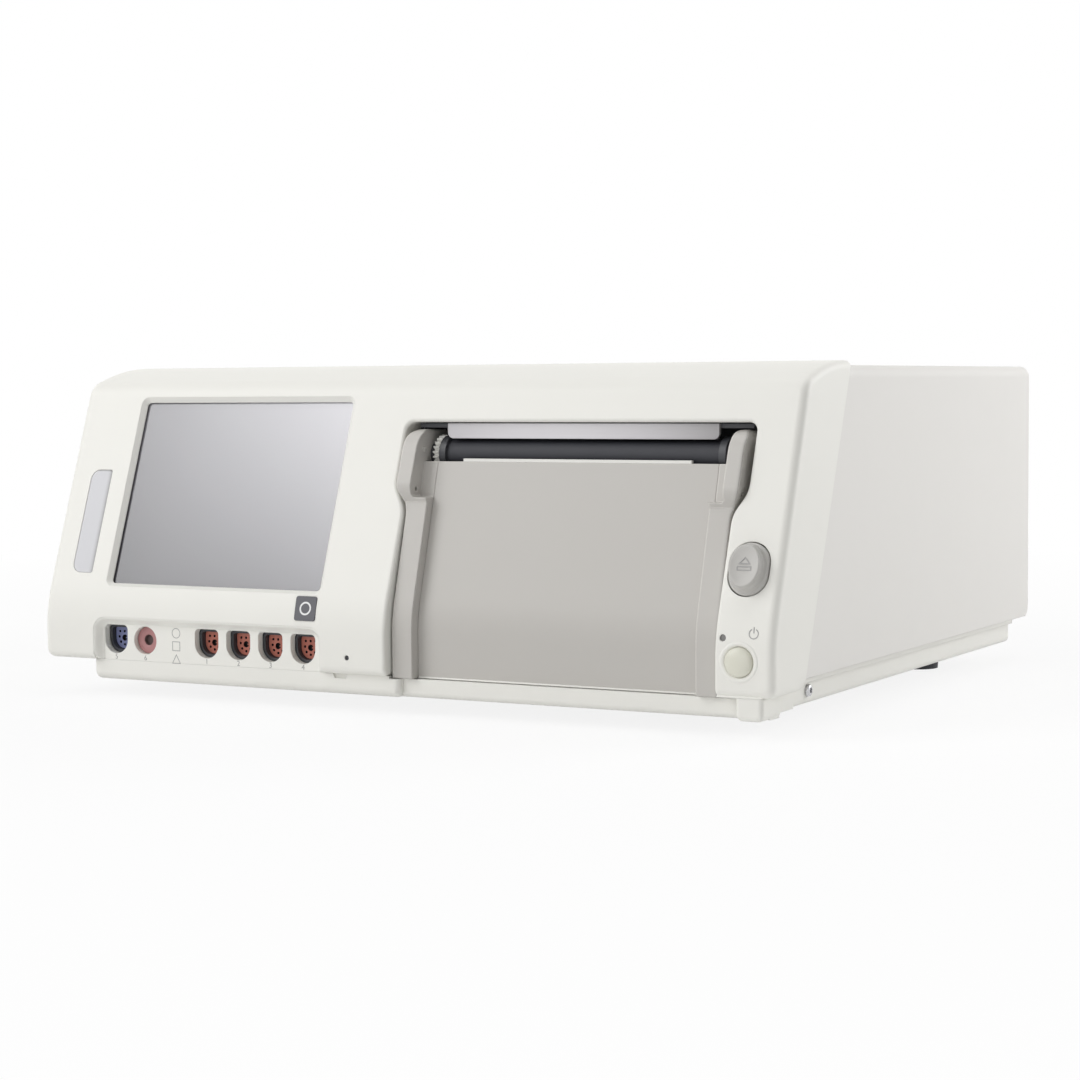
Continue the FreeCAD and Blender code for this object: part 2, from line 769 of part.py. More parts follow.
def hollow_bezel(body):
    """Cut the bezel hollow in bands, which leaves a return wall round the drawer opening."""
    rise = "atan((body_height - brow_height) / crown_reach)"
    join = f"(wall / (1 + sin({rise} + face_angle * 1 deg)))"
    shell_top = [
        (
            f"{face('brow_height')} + {join} * (cos(face_angle) + sin({rise}))",
            f"brow_height - {join} * (sin(face_angle) + cos({rise}))",
        ),
        (f"{face('brow_height')} + crown_reach + wall * tan({rise} / 2)", "body_height - wall"),
        (f"{seam('body_height')} + rim_depth", "body_height - wall"),
    ]

    def shell_front(depth, bottom):
        return [
            (f"{NOSE} + ({depth})", bottom),
            (f"{NOSE} + ({depth})", f"knee_height - ({depth}) * tan(face_angle / 2)"),
        ]

    def inside_face(height, depth):
        return f"{face(height)} + ({depth}) / cos(face_angle)", height

    def behind(height):
        return f"{seam(height)} + rim_depth", height

    opened, closed = "bezel_bottom - wall", "bezel_bottom + wall"
    rim_top, rim_foot = "opening_top + rim_wall", "waist_height - rim_wall"
    left, right = "drawer_x - opening_top_half - rim_wall", "drawer_x + opening_top_half + rim_wall"
    near_left, near_right = "drawer_x - opening_waist_half - rim_wall", "drawer_x + opening_waist_half + rim_wall"
    rounds = {"knee_radius - wall": [1], "brow_radius - wall": [2], "crown_radius - wall": [3]}
    panel_left, panel_right = "-recess_left - panel_margin", "-recess_right + panel_margin"
    for start, end, bottom in (
        (f"-{HALF} + wall", panel_left, closed),
        (panel_left, panel_right, opened),
        (panel_right, left, closed),
        (right, f"{HALF} - wall", closed),
    ):
        full = shell_front("wall", bottom) + shell_top + [behind(bottom)]
        shape_polygon(body, "YZ", full, start, end, rounds, cutting=True)
    foot = shell_front("wall", closed) + [inside_face(rim_foot, "wall"), behind(rim_foot), behind(closed)]
    shape_polygon(body, "YZ", foot, left, near_left, {"knee_radius - wall": [1]}, cutting=True)
    shape_polygon(body, "YZ", foot, near_right, right, {"knee_radius - wall": [1]}, cutting=True)
    above = [inside_face(rim_top, "wall")] + shell_top + [behind(rim_top)]
    above_rounds = {"brow_radius - wall": [1], "crown_radius - wall": [2]}
    shape_polygon(body, "YZ", above, left, right, above_rounds, cutting=True)
    deep = shell_front("rim_depth", opened) + [inside_face(rim_top, "rim_depth"), behind(rim_top), behind(opened)]
    shape_polygon(body, "YZ", deep, near_left, near_right, {"knee_radius - rim_depth": [1]}, cutting=True)
    sides = [inside_face(rim_foot, "rim_depth"), inside_face(rim_top, "rim_depth"), behind(rim_top), behind(rim_foot)]
    shape_polygon(body, "YZ", sides, left, near_left, cutting=True)
    shape_polygon(body, "YZ", sides, near_right, right, cutting=True)


def soften_opening(body):
    """Round the bezel's front edge along the drawer opening."""
    near, far = number("opening_waist_half"), number("opening_top_half")
    middle, top = number("drawer_x"), number("opening_top")
    bend = number("knee_height - knee_radius * tan(face_angle / 2)")
    arc_top = number("knee_height + knee_radius * tan(face_angle / 2) * cos(face_angle)")
    nose, radius = number(NOSE), number("knee_radius")

    def front(height):
        if height <= bend:
            return nose
        if height >= arc_top:
            return number(face(str(height)))
        return nose + radius - math.sqrt(radius ** 2 - (height - bend) ** 2)

    def on_lip(point):
        aside = abs(point.x - middle)
        inside = near - 1e-3 < aside < far + 1e-3 or abs(point.z - top) < 1e-3 and aside < far + 1e-3
        return inside and point.z < top + 1e-3 and abs(point.y - front(point.z)) < 2e-3

    round_edges(body, edges_where(body, on_lip), "lip_radius")


def make_cover():
    """Top and sides in one folded U, cut along the slanted seam."""
    body = new_body("top_cover")
    inside = f"({COVER_HALF} - wall)"
    profile = [
        (f"-{COVER_HALF}", "cover_bottom"),
        (f"-{inside}", "cover_bottom"),
        (f"-{inside}", f"{COVER_TOP} - wall"),
        (inside, f"{COVER_TOP} - wall"),
        (inside, "cover_bottom"),
        (COVER_HALF, "cover_bottom"),
        (COVER_HALF, COVER_TOP),
        (f"-{COVER_HALF}", COVER_TOP),
    ]
    rounds = {"cover_corner - wall": [2, 3], "cover_corner": [6, 7]}
    shape_polygon(body, "XZ", profile, seam("cover_bottom"), REAR, rounds)
    high, low = f"{COVER_TOP} + wall", "cover_bottom - wall"
    ahead = [
        (f"{NOSE} - wall", low),
        (f"{seam(low)} + gap", low),
        (f"{seam(high)} + gap", high),
        (f"{NOSE} - wall", high),
    ]
    shape_polygon(body, "YZ", ahead, f"-{HALF}", HALF, cutting=True)
    rear, foot = number(REAR), number("cover_bottom")
    heels = edges_where(body, lambda point: abs(point.y - rear) < 1e-4 and abs(point.z - foot) < 1e-4)
    round_edges(body, heels, "cover_rear_radius")
    return body


def make_base():
    """Front plinth and sill with a corner pillar, then the shallow tray with a stepped rear."""
    body = new_body("base_tray")
    front = f"({seam('bezel_bottom + wall')} + gap * 4)"
    foot = "(foot_height - plinth_drop)"

    def strip(setback, top):
        """Side outline of a strip along the front, with its lower front edge rounded."""
        return [
            (f"{NOSE} + {setback}", top),
            (f"{NOSE} + {setback}", foot),
            (front, foot),
            (front, top),
        ]

    shape_polygon(body, "YZ", strip("plinth_front", PLINTH_TOP), "-plinth_left", "plinth_step", {"plinth_round": [1]})
    left, right = number("-plinth_left"), number("plinth_step")
    top, back = number(PLINTH_TOP), number(front)

    def on_end(point):
        return min(abs(point.x - left), abs(point.x - right)) < 1e-4

    spared = edges_where(body, lambda point: abs(point.z - top) < 1e-4 or abs(point.y - back) < 1e-4)
    round_edges(body, sorted(set(edges_where(body, on_end)) - set(spared)), "base_corner")
    inner = "plinth_step - base_corner * 2"
    shape_polygon(body, "YZ", strip("sill_setback", SILL_TOP), inner, "base_half_width", {"base_corner": [1]})
    beside = "drawer_x + opening_waist_half + foot_corner + rim_wall"
    shape_polygon(body, "YZ", strip("sill_setback", PLINTH_TOP), beside, "base_half_width", {"base_corner": [1]})
    hollow = [
        ("-plinth_left + base_wall", f"{front} + base_wall"),
        ("-plinth_left + base_wall", f"{NOSE} + plinth_front + base_wall"),
        ("plinth_step - base_wall", f"{NOSE} + plinth_front + base_wall"),
        ("plinth_step - base_wall", f"{NOSE} + sill_setback + base_wall"),
        ("base_half_width - base_wall", f"{NOSE} + sill_setback + base_wall"),
        ("base_half_width - base_wall", f"{front} + base_wall"),
    ]
    shape_polygon(body, "XY", hollow, FLOOR, "base_rim", cutting=True)
    under_arm = corners("drawer_x - opening_waist_half", "plinth_step + overcut", SILL_TOP, f"{PLINTH_TOP} + overcut")
    shape_polygon(body, "XZ", under_arm, f"{NOSE} - overcut", f"{front} + overcut", cutting=True)
    notch = [
        ("notch_x - notch_wide / 2 + notch_slant", f"{PLINTH_TOP} - notch_tall"),
        ("notch_x + notch_wide / 2 - notch_slant", f"{PLINTH_TOP} - notch_tall"),
        ("notch_x + notch_wide / 2", f"{PLINTH_TOP} + overcut"),
        ("notch_x - notch_wide / 2", f"{PLINTH_TOP} + overcut"),
    ]
    ahead = f"{NOSE} + plinth_front"
    shape_polygon(body, "XZ", notch, f"{ahead} - overcut", f"{ahead} + notch_deep", cutting=True)
    pillar = corners("base_half_width + pillar_proud - pillar_width", "base_half_width + pillar_proud", foot, PLINTH_TOP)
    ahead, behind = f"{NOSE} + pillar_front", f"{NOSE} + pillar_front + pillar_depth"
    shape_polygon(body, "XZ", pillar, ahead, behind, {"base_corner": [0, 1]})
    face_y = number(ahead)
    rim_edges = edges_where(body, lambda point: abs(point.y - face_y) < 1e-4)
    spared = edges_where(body, lambda point: abs(point.z - top) < 1e-4)
    round_edges(body, sorted(set(rim_edges) - set(spared)), "pillar_round")
    under = corners(behind, f"{front} + overcut", f"{foot} - overcut", "foot_height")
    shape_polygon(body, "YZ", under, f"-{HALF}", HALF, cutting=True)
    # Tray with a step out on each side
    rim = f"({COVER_HALF} - wall - gap)"
    side = [
        ("base_half_width", "foot_height"),
        ("base_half_width", "base_step"),
        (rim, "base_step"),
        (rim, "base_rim"),
        (f"{rim} - base_wall", "base_rim"),
        (f"{rim} - base_wall", "base_step + base_wall"),
        ("base_half_width - base_wall", "base_step + base_wall"),
        ("base_half_width - base_wall", FLOOR),
    ]
    profile = side + [(f"-({x})", z) for x, z in reversed(side)]
    shape_polygon(body, "XZ", profile, front, BASE_REAR, {"base_corner": [0, 15]})
    ledge = "(cover_bottom + gap)"
    wall = corners("-base_half_width", "base_half_width", "foot_height", f"{ledge} + base_wall")
    shape_polygon(body, "XZ", wall, f"{BASE_REAR} - base_wall", BASE_REAR, {"base_corner": [0, 1]})
    upper = [
        (rim, ledge),
        (rim, "base_rim"),
        (f"{rim} - base_wall", "base_rim"),
        (f"{rim} - base_wall", f"{ledge} + base_wall"),
    ]
    step = upper + [(f"-({x})", z) for x, z in reversed(upper)]
    shape_polygon(body, "XZ", step, f"{BASE_REAR} - base_wall", f"{REAR_PANEL} - base_wall")
    shape_polygon(body, "XZ", corners(f"-{rim}", rim, ledge, "base_rim"), f"{REAR_PANEL} - base_wall", REAR_PANEL)
    return body


def make_rear_panel():
    """Flat plate with cut-outs for the inlet, the interface slots, the speaker and the vents."""
    body = new_body("rear_panel")
    half = f"({COVER_HALF} - wall - gap)"
    low, high = REAR_PANEL, f"{REAR_PANEL} + base_wall"
    plate = corners(f"-{half}", half, "cover_bottom + gap", f"{COVER_TOP} - wall - gap")
    shape_polygon(body, "XZ", plate, low, high, {"cover_corner - wall": [2, 3]})
    through = f"{low} - overcut", f"{high} + overcut"
    inlet = rectangle("inlet_x", "inlet_wide", "inlet_height", "inlet_tall")
    shape_polygon(body, "XZ", inlet, *through, cutting=True)
    for index in range(2):
        slot = rectangle("slot_x", "slot_wide", f"slot_height + slot_pitch * {index}", "slot_tall")
        shape_polygon(body, "XZ", slot, *through, cutting=True)
    shape_circle(body, "XZ", ("post_x", "post_height"), "post_diameter + gap", *through, cutting=True)
    grille = rectangle("speaker_x", "grille_wide", "speaker_height - grille_pitch * (grille_count - 1) / 2",
                       "grille_slot")
    shape_polygon(body, "XZ", grille, *through, cutting=True)
    repeat(body, "V_Axis", "grille_pitch", "grille_count")
    vent = rectangle("vent_x - vent_pitch * (vent_count - 1) / 2", "vent_slot", "vent_height", "vent_tall")
    shape_polygon(body, "XZ", vent, *through, cutting=True)
    repeat(body, "H_Axis", "vent_pitch", "vent_count")
    return body


def repeat(body, axis, pitch, count):
    """Repeat the body's last pocket in a row along an axis of its sketch."""
    last = body.Tip
    before = last.Shape.Volume
    pattern = body.newObject("PartDesign::LinearPattern", "row")
    pattern.Originals = [last]
    pattern.Direction = (last.Profile[0], [axis])
    bind(pattern, "Length", f"{pitch} * ({count} - 1)")
    bind(pattern, "Occurrences", count)
    body.Tip = pattern
    doc.recompute()
    if not pattern.Shape.Volume < before - 1e-6:
        raise RuntimeError(f"{body.Label}: a row of pockets cuts nothing")
    return pattern


def make_feet():
    """Four rubber feet, each a disc that narrows to the floor."""
    for name, x, y in (
        ("foot_front_left", "-foot_front_spread", "-foot_front"),
        ("foot_front_right", "foot_front_spread", "-foot_front"),
        ("foot_rear_left", "-foot_spread", "foot_rear"),
        ("foot_rear_right", "foot_spread", "foot_rear"),
    ):
        cone = doc.addObject("Part::Cone", name)
        bind(cone, "Radius1", "foot_diameter / 2 - foot_draft")
        bind(cone, "Radius2", "foot_diameter / 2")
        bind(cone, "Height", "foot_height")
        bind(cone, "Placement.Base.x", x)
        bind(cone, "Placement.Base.y", y)
        node(cone, name)


# Display
def make_display():
    """Gasket, glass, panel and bracket stacked behind the bezel's window."""
    def plate(label, border, depth, thick, hole=None):
        body = new_body(label)
        outer = rectangle("screen_x", f"screen_wide + 2 * ({border})", "0", f"screen_tall + 2 * ({border})")
        low, high = f"-({depth}) - ({thick})", f"-({depth})"
        shape_polygon(body, "XZ", outer, low, high, {"screen_corner": [0, 1, 2, 3]}, SLOPE)
        if hole is not None:
            inner = rectangle("screen_x", f"screen_wide + 2 * ({hole})", "0", f"screen_tall + 2 * ({hole})")
            shape_polygon(body, "XZ", inner, f"{low} - overcut", f"{high} + overcut", None, SLOPE, True)
        return body

    glass_depth = "wall + gasket_thick"
    lcd_depth = f"{glass_depth} + glass_thick"
    plate("display_gasket", "glass_border", "wall", "gasket_thick", "gasket_hole")
    plate("touch_glass", "glass_border", glass_depth, "glass_thick")
    plate("lcd_module", "lcd_border", lcd_depth, "lcd_thick")
    plate("display_bracket", "bracket_border", f"{lcd_depth} + lcd_thick", "bracket_thick", "-lcd_border * 2")


def make_plates():
    """The bare name plate and the dark square badge."""
    body = new_body("name_plate")
    outline = rectangle("name_x", "name_wide - gap", "0", "name_tall - gap")
    rounds = {"name_round - gap / 2": [0, 3], "name_small_round": [1, 2]}
    shape_polygon(body, "XZ", outline, "-name_deep", "-name_deep + name_deep * 0.8", rounds, on_face("name_height"))
    body = new_body("square_badge")
    outline = rectangle("badge_x", "badge_side", "0", "badge_side")
    rounds = {"badge_round": [0, 1, 2, 3]}
    shape_polygon(body, "XZ", outline, "-badge_seat", "badge_deep - badge_seat", rounds, BADGE_PLACE)


# Sockets
def socket_outline(x, inset):
    """Corners of a socket that is set in by an amount, and the radii of its flat top and round bottom."""
    points = rectangle(x, f"socket_wide - 2 * ({inset})", "socket_height", f"socket_tall - 2 * ({inset})")
    bowl, corner = f"socket_wide / 2 - ({inset}) - running_gap", f"socket_corner - ({inset}) * 0.7"
    return points, {bowl: [0, 1], corner: [2, 3]}


def shape_socket(body, x, inset, low, high, cutting=False):
    """Add, or cut, a straight solid with a socket's outline."""
    points, rounds = socket_outline(x, inset)
    return shape_polygon(body, "XZ", points, low, high, rounds, cutting=cutting)


SOCKETS = {"pulse": "pulse_x"}
for number_on_panel in range(1, 5):
    SOCKETS[f"sensor_{number_on_panel}"] = f"socket_first_x + socket_pitch * {number_on_panel - 1}"


def make_sockets():
    """The socket panel, and a shroud and a contact insert behind each of its openings."""
    panel = new_body("socket_panel")
    low, high = PANEL_FACE, f"{PANEL_FACE} + panel_thick"
    plate = corners("-recess_left - panel_margin", "-recess_right + panel_margin", PLINTH_TOP,
                    "recess_top + panel_margin")
    shape_polygon(panel, "XZ", plate, low, high)
    for x in SOCKETS.values():
        shape_socket(panel, x, "0", f"{low} - overcut", f"{high} + overcut", True)
    cuff = ("cuff_x", "socket_height")
    shape_circle(panel, "XZ", cuff, "cuff_diameter - cuff_lip * 2", f"{low} - overcut", f"{high} + overcut", cutting=True)
    shroud_front = f"{PANEL_FACE} + shroud_setback"
    shroud_back = f"{shroud_front} + shroud_deep"
    for name, x in SOCKETS.items():
        shroud = new_body(f"{name}_shroud")
        plug_back = f"{PANEL_FACE} + plug_setback + shroud_wall * 2"
        shape_socket(shroud, x, "gap / 2", shroud_front, shroud_back)
        shape_socket(shroud, x, "gap / 2 + shroud_wall", f"{shroud_front} - overcut", plug_back, True)
        insert = new_body(f"{name}_insert")
        shape_socket(insert, x, "gap + shroud_wall", f"{PANEL_FACE} + plug_setback", plug_back)
    ring = new_body("cuff_socket")
    shape_circle(ring, "XZ", cuff, "cuff_diameter", f"{PANEL_FACE} - cuff_proud", PANEL_FACE)
    shape_circle(ring, "XZ", cuff, "cuff_diameter - cuff_lip * 2 - gap", PANEL_FACE, shroud_back)
    shape_circle(ring, "XZ", cuff, "cuff_bore", f"{PANEL_FACE} - cuff_proud - overcut", f"{shroud_back} - shroud_wall",
                 cutting=True)
    board = block("sensor_board", ("-recess_left", "-recess_right"),
                  (shroud_back, f"{shroud_back} + board_thick"), (FLOOR, "recess_top"))
    node(board, "sensor_board")


# Buttons and lamps
def make_eject_button():
    """Oval push button with a skirt, a drawn-in flank and a flat cap."""
    body = new_body("eject_button")
    place = on_face("eject_height")
    wide, tall = "eject_wide - gap * 2", "eject_tall - gap * 2"
    shape_slot(body, "eject_x", wide, tall, "-eject_root", "eject_skirt", place)
    narrow = "(gap * 2 + eject_flare)"
    shape_slot(body, "eject_x", f"eject_wide - {narrow} * 0.6", f"eject_tall - {narrow} * 0.6", "eject_skirt",
               "eject_skirt + eject_flank", place, draft="-atan(eject_flare * 0.55 / eject_flank)")
    shape_slot(body, "eject_x", f"eject_wide - {narrow} - eject_flare", f"eject_tall - {narrow} - eject_flare",
               "eject_skirt + eject_flank", "eject_skirt + eject_flank + eject_cap", place)
    stem = ("eject_x", "0")
    shape_circle(body, "XZ", stem, "stem_diameter", "-eject_root - stem_length", "-eject_root", place)
    guide = new_body("eject_guide")
    mouth = "-eject_root - eject_travel - gap * 2"
    outline = corners("eject_x - guide_side / 2", f"{HALF} - wall", "-guide_side / 2", "guide_side / 2")
    shape_polygon(guide, "XZ", outline, f"{mouth} - guide_deep", mouth, None, place)
    bore = "stem_diameter + running_gap * 3"
    shape_circle(guide, "XZ", stem, bore, f"{mouth} - guide_deep - overcut", f"{mouth} + overcut", place, True)
    return body


def make_power_button():
    """Round, slightly domed button on a stem, and the switch that takes the stem."""
    body = new_body("power_button")
    centre = ("power_x", "power_height")
    shape_circle(body, "XZ", centre, "power_diameter", NOSE, f"{NOSE} + power_root")
    front = number(NOSE)
    round_edges(body, edges_where(body, lambda p: abs(p.y - front) < 1e-4), "power_dome")
    root = f"{NOSE} + power_root"
    shape_circle(body, "XZ", centre, "power_stem", root, f"{root} + power_stem_length")
    switch = new_body("power_switch")
    mouth = f"{root} + power_travel * 2"
    outline = corners("power_x - switch_side / 2", "power_x + switch_side / 2", "bezel_bottom + wall",
                      "power_height + switch_side / 2")
    shape_polygon(switch, "XZ", outline, mouth, f"{mouth} + switch_deep")
    shape_circle(switch, "XZ", centre, "power_stem + gap * 2", f"{mouth} - overcut",
                 f"{root} + power_stem_length + power_travel * 2", cutting=True)


def make_lamps():
    """The power lamp and the small light sensor beside the sockets."""
    lamp = rod("power_lamp", "y", ("lamp_x", "lamp_height"), "lamp_diameter - running_gap * 2",
               f"{NOSE} + lamp_setback", f"{NOSE} + lamp_length")
    node(lamp, "power_lamp")
    eye = rod("light_sensor", "y", ("eye_x", "eye_height"), "eye_diameter - running_gap * 2",
              f"{NOSE} + eye_setback", f"{NOSE} + lamp_length")
    node(eye, "light_sensor")


# Drawer
def make_drawer_front():
    """Web between two arms; each arm swells into an ear that carries the platen."""
    body = new_body("drawer_front")
    slab_back = "slab_thick + seat_gap"
    web = [
        (f"{slab_front('ear_bottom')} + {slab_back}", "ear_bottom"),
        (f"{slab_front('arm_knee')} + {slab_back}", "arm_knee"),
        (f"{slab_front('arm_knee')} + {slab_back}", "arm_bottom"),
        (f"{slab_front('arm_knee')} + {slab_back} + web_thick", "arm_bottom"),
        (f"{slab_front('arm_knee')} + {slab_back} + web_thick", "arm_knee"),
        (f"{slab_front('ear_bottom')} + {slab_back} + web_thick", "ear_bottom"),
    ]
    web_rounds = {"arm_knee_radius - slab_thick": [1], "arm_knee_radius - slab_thick - web_thick": [4]}
    shape_polygon(body, "YZ", web, f"drawer_x - {ARM_HALF} + overcut", f"drawer_x + {ARM_HALF} - overcut", web_rounds)
    for sign in (-1, 1):
        outline = [
            (f"drawer_x + {sign} * {ARM_INNER}", "arm_bottom"),
            (f"drawer_x + {sign} * {ARM_HALF}", "arm_bottom"),
            (f"drawer_x + {sign} * {ARM_HALF}", "waist_height"),
            (f"drawer_x + {sign} * {EAR_HALF}", "bulge_height"),
            (f"drawer_x + {sign} * {EAR_HALF}", "ear_top"),
            (f"drawer_x + {sign} * {EAR_INNER}", "ear_top"),
            (f"drawer_x + {sign} * {EAR_INNER}", "ear_ledge"),
            (f"drawer_x + {sign} * {ARM_INNER}", "ear_ledge"),
        ]
        rounds = {"waist_radius": [2, 3], "ear_corner": [4], "ear_small_corner": [5, 6]}
        shape_polygon(body, "XZ", outline, NOSE, EAR_REAR, rounds)
    ahead = [
        (f"{NOSE} - overcut", "arm_bottom - overcut"),
        (arm_front("arm_knee"), "arm_bottom - overcut"),
        (arm_front("arm_knee"), "arm_knee"),
        (arm_front("ear_bottom"), "ear_bottom"),
        (f"{face('ear_swell')} - ear_proud", "ear_swell"),
        (f"{face('ear_top')} - ear_proud", "ear_top"),
        (f"{EAR_REAR} + overcut", "ear_top"),
        (f"{EAR_REAR} + overcut", "ear_top + overcut"),
        (f"{NOSE} - overcut", "ear_top + overcut"),
    ]
    behind = [
        (EAR_REAR, "ear_ledge + ear_back"),
        (f"{slab_front('ear_bottom')} + {slab_back} + web_thick", "ear_bottom"),
        (f"{slab_front('arm_knee')} + {slab_back} + web_thick", "arm_knee"),
        (f"{slab_front('arm_knee')} + {slab_back} + web_thick", "arm_bottom - overcut"),
        (f"{EAR_REAR} + overcut", "arm_bottom - overcut"),
        (f"{EAR_REAR} + overcut", "ear_ledge + ear_back"),
    ]
    bend = {"arm_knee_radius - slab_thick - web_thick": [2]}
    sides = (f"drawer_x - {EAR_HALF} - overcut", f"drawer_x + {EAR_HALF} + overcut")
    front_rounds = {"arm_knee_radius": [2], "ear_swell_round": [4], "ear_brow": [5]}
    shape_polygon(body, "YZ", ahead, *sides, front_rounds, cutting=True)
    shape_polygon(body, "YZ", behind, *sides, bend, cutting=True)
    strip = [
        (slab_front("slab_top"), "slab_top"),
        (slab_front("ear_bottom"), "ear_bottom"),
        (f"{slab_front('ear_bottom')} + {slab_back} + web_thick", "ear_bottom"),
        (f"{slab_front('ear_ledge')} + {slab_back} + web_thick", "ear_ledge"),
        (f"{slab_front('slab_top')} + slab_thick", "slab_top"),
    ]
    for sign in (-1, 1):
        limits = [f"drawer_x + {sign} * ({EAR_INNER} + overcut)", f"drawer_x + {sign} * {ARM_INNER}"]
        shape_polygon(body, "YZ", strip, *(limits if sign < 0 else limits[::-1]))
    shape_circle(body, "YZ", ("platen_y", "platen_height"), "bush_diameter", *sides, cutting=True)
    hole = (f"{face('ear_hole_height')} + ear_hole_setback", "ear_hole_height")
    peg = (f"{face('ear_peg_height')} + ear_peg_setback", "ear_peg_height")
    shape_circle(body, "YZ", hole, "ear_hole", *sides, cutting=True)
    for sign in (-1, 1):
        deep = f"drawer_x + {sign} * ({EAR_INNER} + ear_width / 3)"
        proud = f"drawer_x + {sign} * ({EAR_INNER} - ear_peg_long)"
        shape_circle(body, "YZ", peg, "ear_peg", *((deep, proud) if sign < 0 else (proud, deep)))
    return body


def make_paper_slab():
    """Front slab that the paper slides down, and the white guide on its top edge."""
    body = new_body("paper_slab")
    profile = [
        (slab_front("arm_knee"), "arm_bottom"),
        (f"{slab_front('arm_knee')} + slab_thick", "arm_bottom"),
        (f"{slab_front('arm_knee')} + slab_thick", "arm_knee"),
        (f"{slab_front('slab_top')} + slab_thick", "slab_top"),
        (slab_front("slab_top"), "slab_top"),
        (slab_front("arm_knee"), "arm_knee"),
    ]
    rounds = {"arm_knee_radius - slab_thick": [2], "arm_knee_radius": [5]}
    shape_polygon(body, "YZ", profile, f"drawer_x - {SLAB_HALF}", f"drawer_x + {SLAB_HALF}", rounds)
    guide = block("paper_guide", ("drawer_x - guide_half", "drawer_x + guide_half"),
                  (slab_front("slab_top"), f"{slab_front('slab_top')} + slab_thick"),
                  ("slab_top", "slab_top + guide_tall"))
    node(guide, "paper_guide")


def make_tray():
    """Paper tray behind the drawer's front, with a runner along each side."""
    body = new_body("paper_tray")
    web_back = "slab_thick + seat_gap + web_thick"
    side = [
        (f"{slab_front('arm_knee')} + {web_back}", "tray_bottom"),
        ("tray_rear", "tray_bottom"),
        ("tray_rear", "tray_top"),
        (f"{slab_front('tray_top')} + {web_back}", "tray_top"),
        (f"{slab_front('arm_knee')} + {web_back}", "arm_knee"),
    ]
    bend = {"arm_knee_radius - slab_thick - web_thick": [4]}
    shape_polygon(body, "YZ", side, "drawer_x - tray_half", "drawer_x + tray_half", bend)
    inside = corners("drawer_x - tray_half + tray_wall", "drawer_x + tray_half - tray_wall", f"{NOSE} - overcut",
                     "tray_rear - tray_wall")
    shape_polygon(body, "XY", inside, "tray_bottom + tray_wall", "tray_top + overcut", cutting=True)
    for sign in (-1, 1):
        near, far = f"drawer_x + {sign} * (tray_half - overcut)", f"drawer_x + {sign} * (tray_half + runner_out)"
        limits = (far, near) if sign < 0 else (near, far)
        runner = corners(*limits, "runner_height", "runner_height + runner_tall")
        shape_polygon(body, "XZ", runner, "rail_front + rail_thick", "tray_rear")
    return body


def make_rails():
    """Two C-shaped rails on the base floor that hold the tray's runners."""
    for name, sign in (("drawer_rail_left", -1), ("drawer_rail_right", 1)):
        body = new_body(name)

        def out(amount):
            return f"drawer_x + {sign} * (tray_half + {amount})"

        web_in, web_out = "runner_out + gap", "runner_out + gap + rail_thick"
        low, high = "runner_height - gap", "runner_height + runner_tall + gap"
        profile = [
            (out("gap * 2"), f"{low} - rail_thick"),
            (out(web_in), f"{low} - rail_thick"),
            (out(web_in), FLOOR),
            (out(web_out), FLOOR),
            (out(web_out), f"{high} + rail_thick"),
            (out("gap * 2"), f"{high} + rail_thick"),
            (out("gap * 2"), high),
            (out(web_in), high),
            (out(web_in), low),
            (out("gap * 2"), low),
        ]
        shape_polygon(body, "XZ", profile, "rail_front", "tray_rear + rail_thick")


# Recorder
def involute(radius, angle):
    """A point of the involute of a circle, unwound by an angle."""
    return Vec(
        radius * (math.cos(angle) + angle * math.sin(angle)),
        radius * (math.sin(angle) - angle * math.cos(angle)),
        0,
    )


def gear_face(module, teeth, backlash, bore, turn):
    """A spur gear's outline with involute flanks, as a flat face about the origin."""
    pressure = math.radians(20)
    pitch = module * teeth / 2
    base, tip, root = pitch * math.cos(pressure), pitch + module, pitch - 1.25 * module
    half_tooth = (math.pi / 2 - backlash / module) / teeth + math.tan(pressure) - pressure
    steps = 4
    unwound = [math.sqrt((tip / base) ** 2 - 1) * step / steps for step in range(steps + 1)]
    points = []
    for tooth in range(teeth):
        middle = turn + 2 * math.pi * tooth / teeth
        flank = [involute(base, angle) for angle in unwound]
        polar = [(point.Length, math.atan2(point.y, point.x)) for point in flank]
        rising = [(min(base, root), -half_tooth)] + [(r, a - half_tooth) for r, a in polar]
        for r, a in rising + [(r, -a) for r, a in reversed(rising)]:
            points.append(Vec(r * math.cos(middle + a), r * math.sin(middle + a), 0))
    flat = Part.Face(Part.Wire(Part.makePolygon(points + points[:1])))
    if bore <= 0:
        return flat
    return flat.cut(Part.Face(Part.Wire(Part.makeCircle(bore / 2)))).Faces[0]


def gear_solid(teeth, bore, turn, place):
    """A gear on an axis along X, with its near face at a place."""
    flat = gear_face(number("gear_module"), int(number(teeth)), number("gear_backlash"), bore, turn)
    shape = flat.extrude(Vec(0, 0, number("gear_wide")))
    # The gear's own X axis becomes +Y and its Y axis +Z, so its axle runs along +X
    shape.Placement = FreeCAD.Placement(place, FreeCAD.Rotation(Vec(1, 1, 1), 120))
    return shape


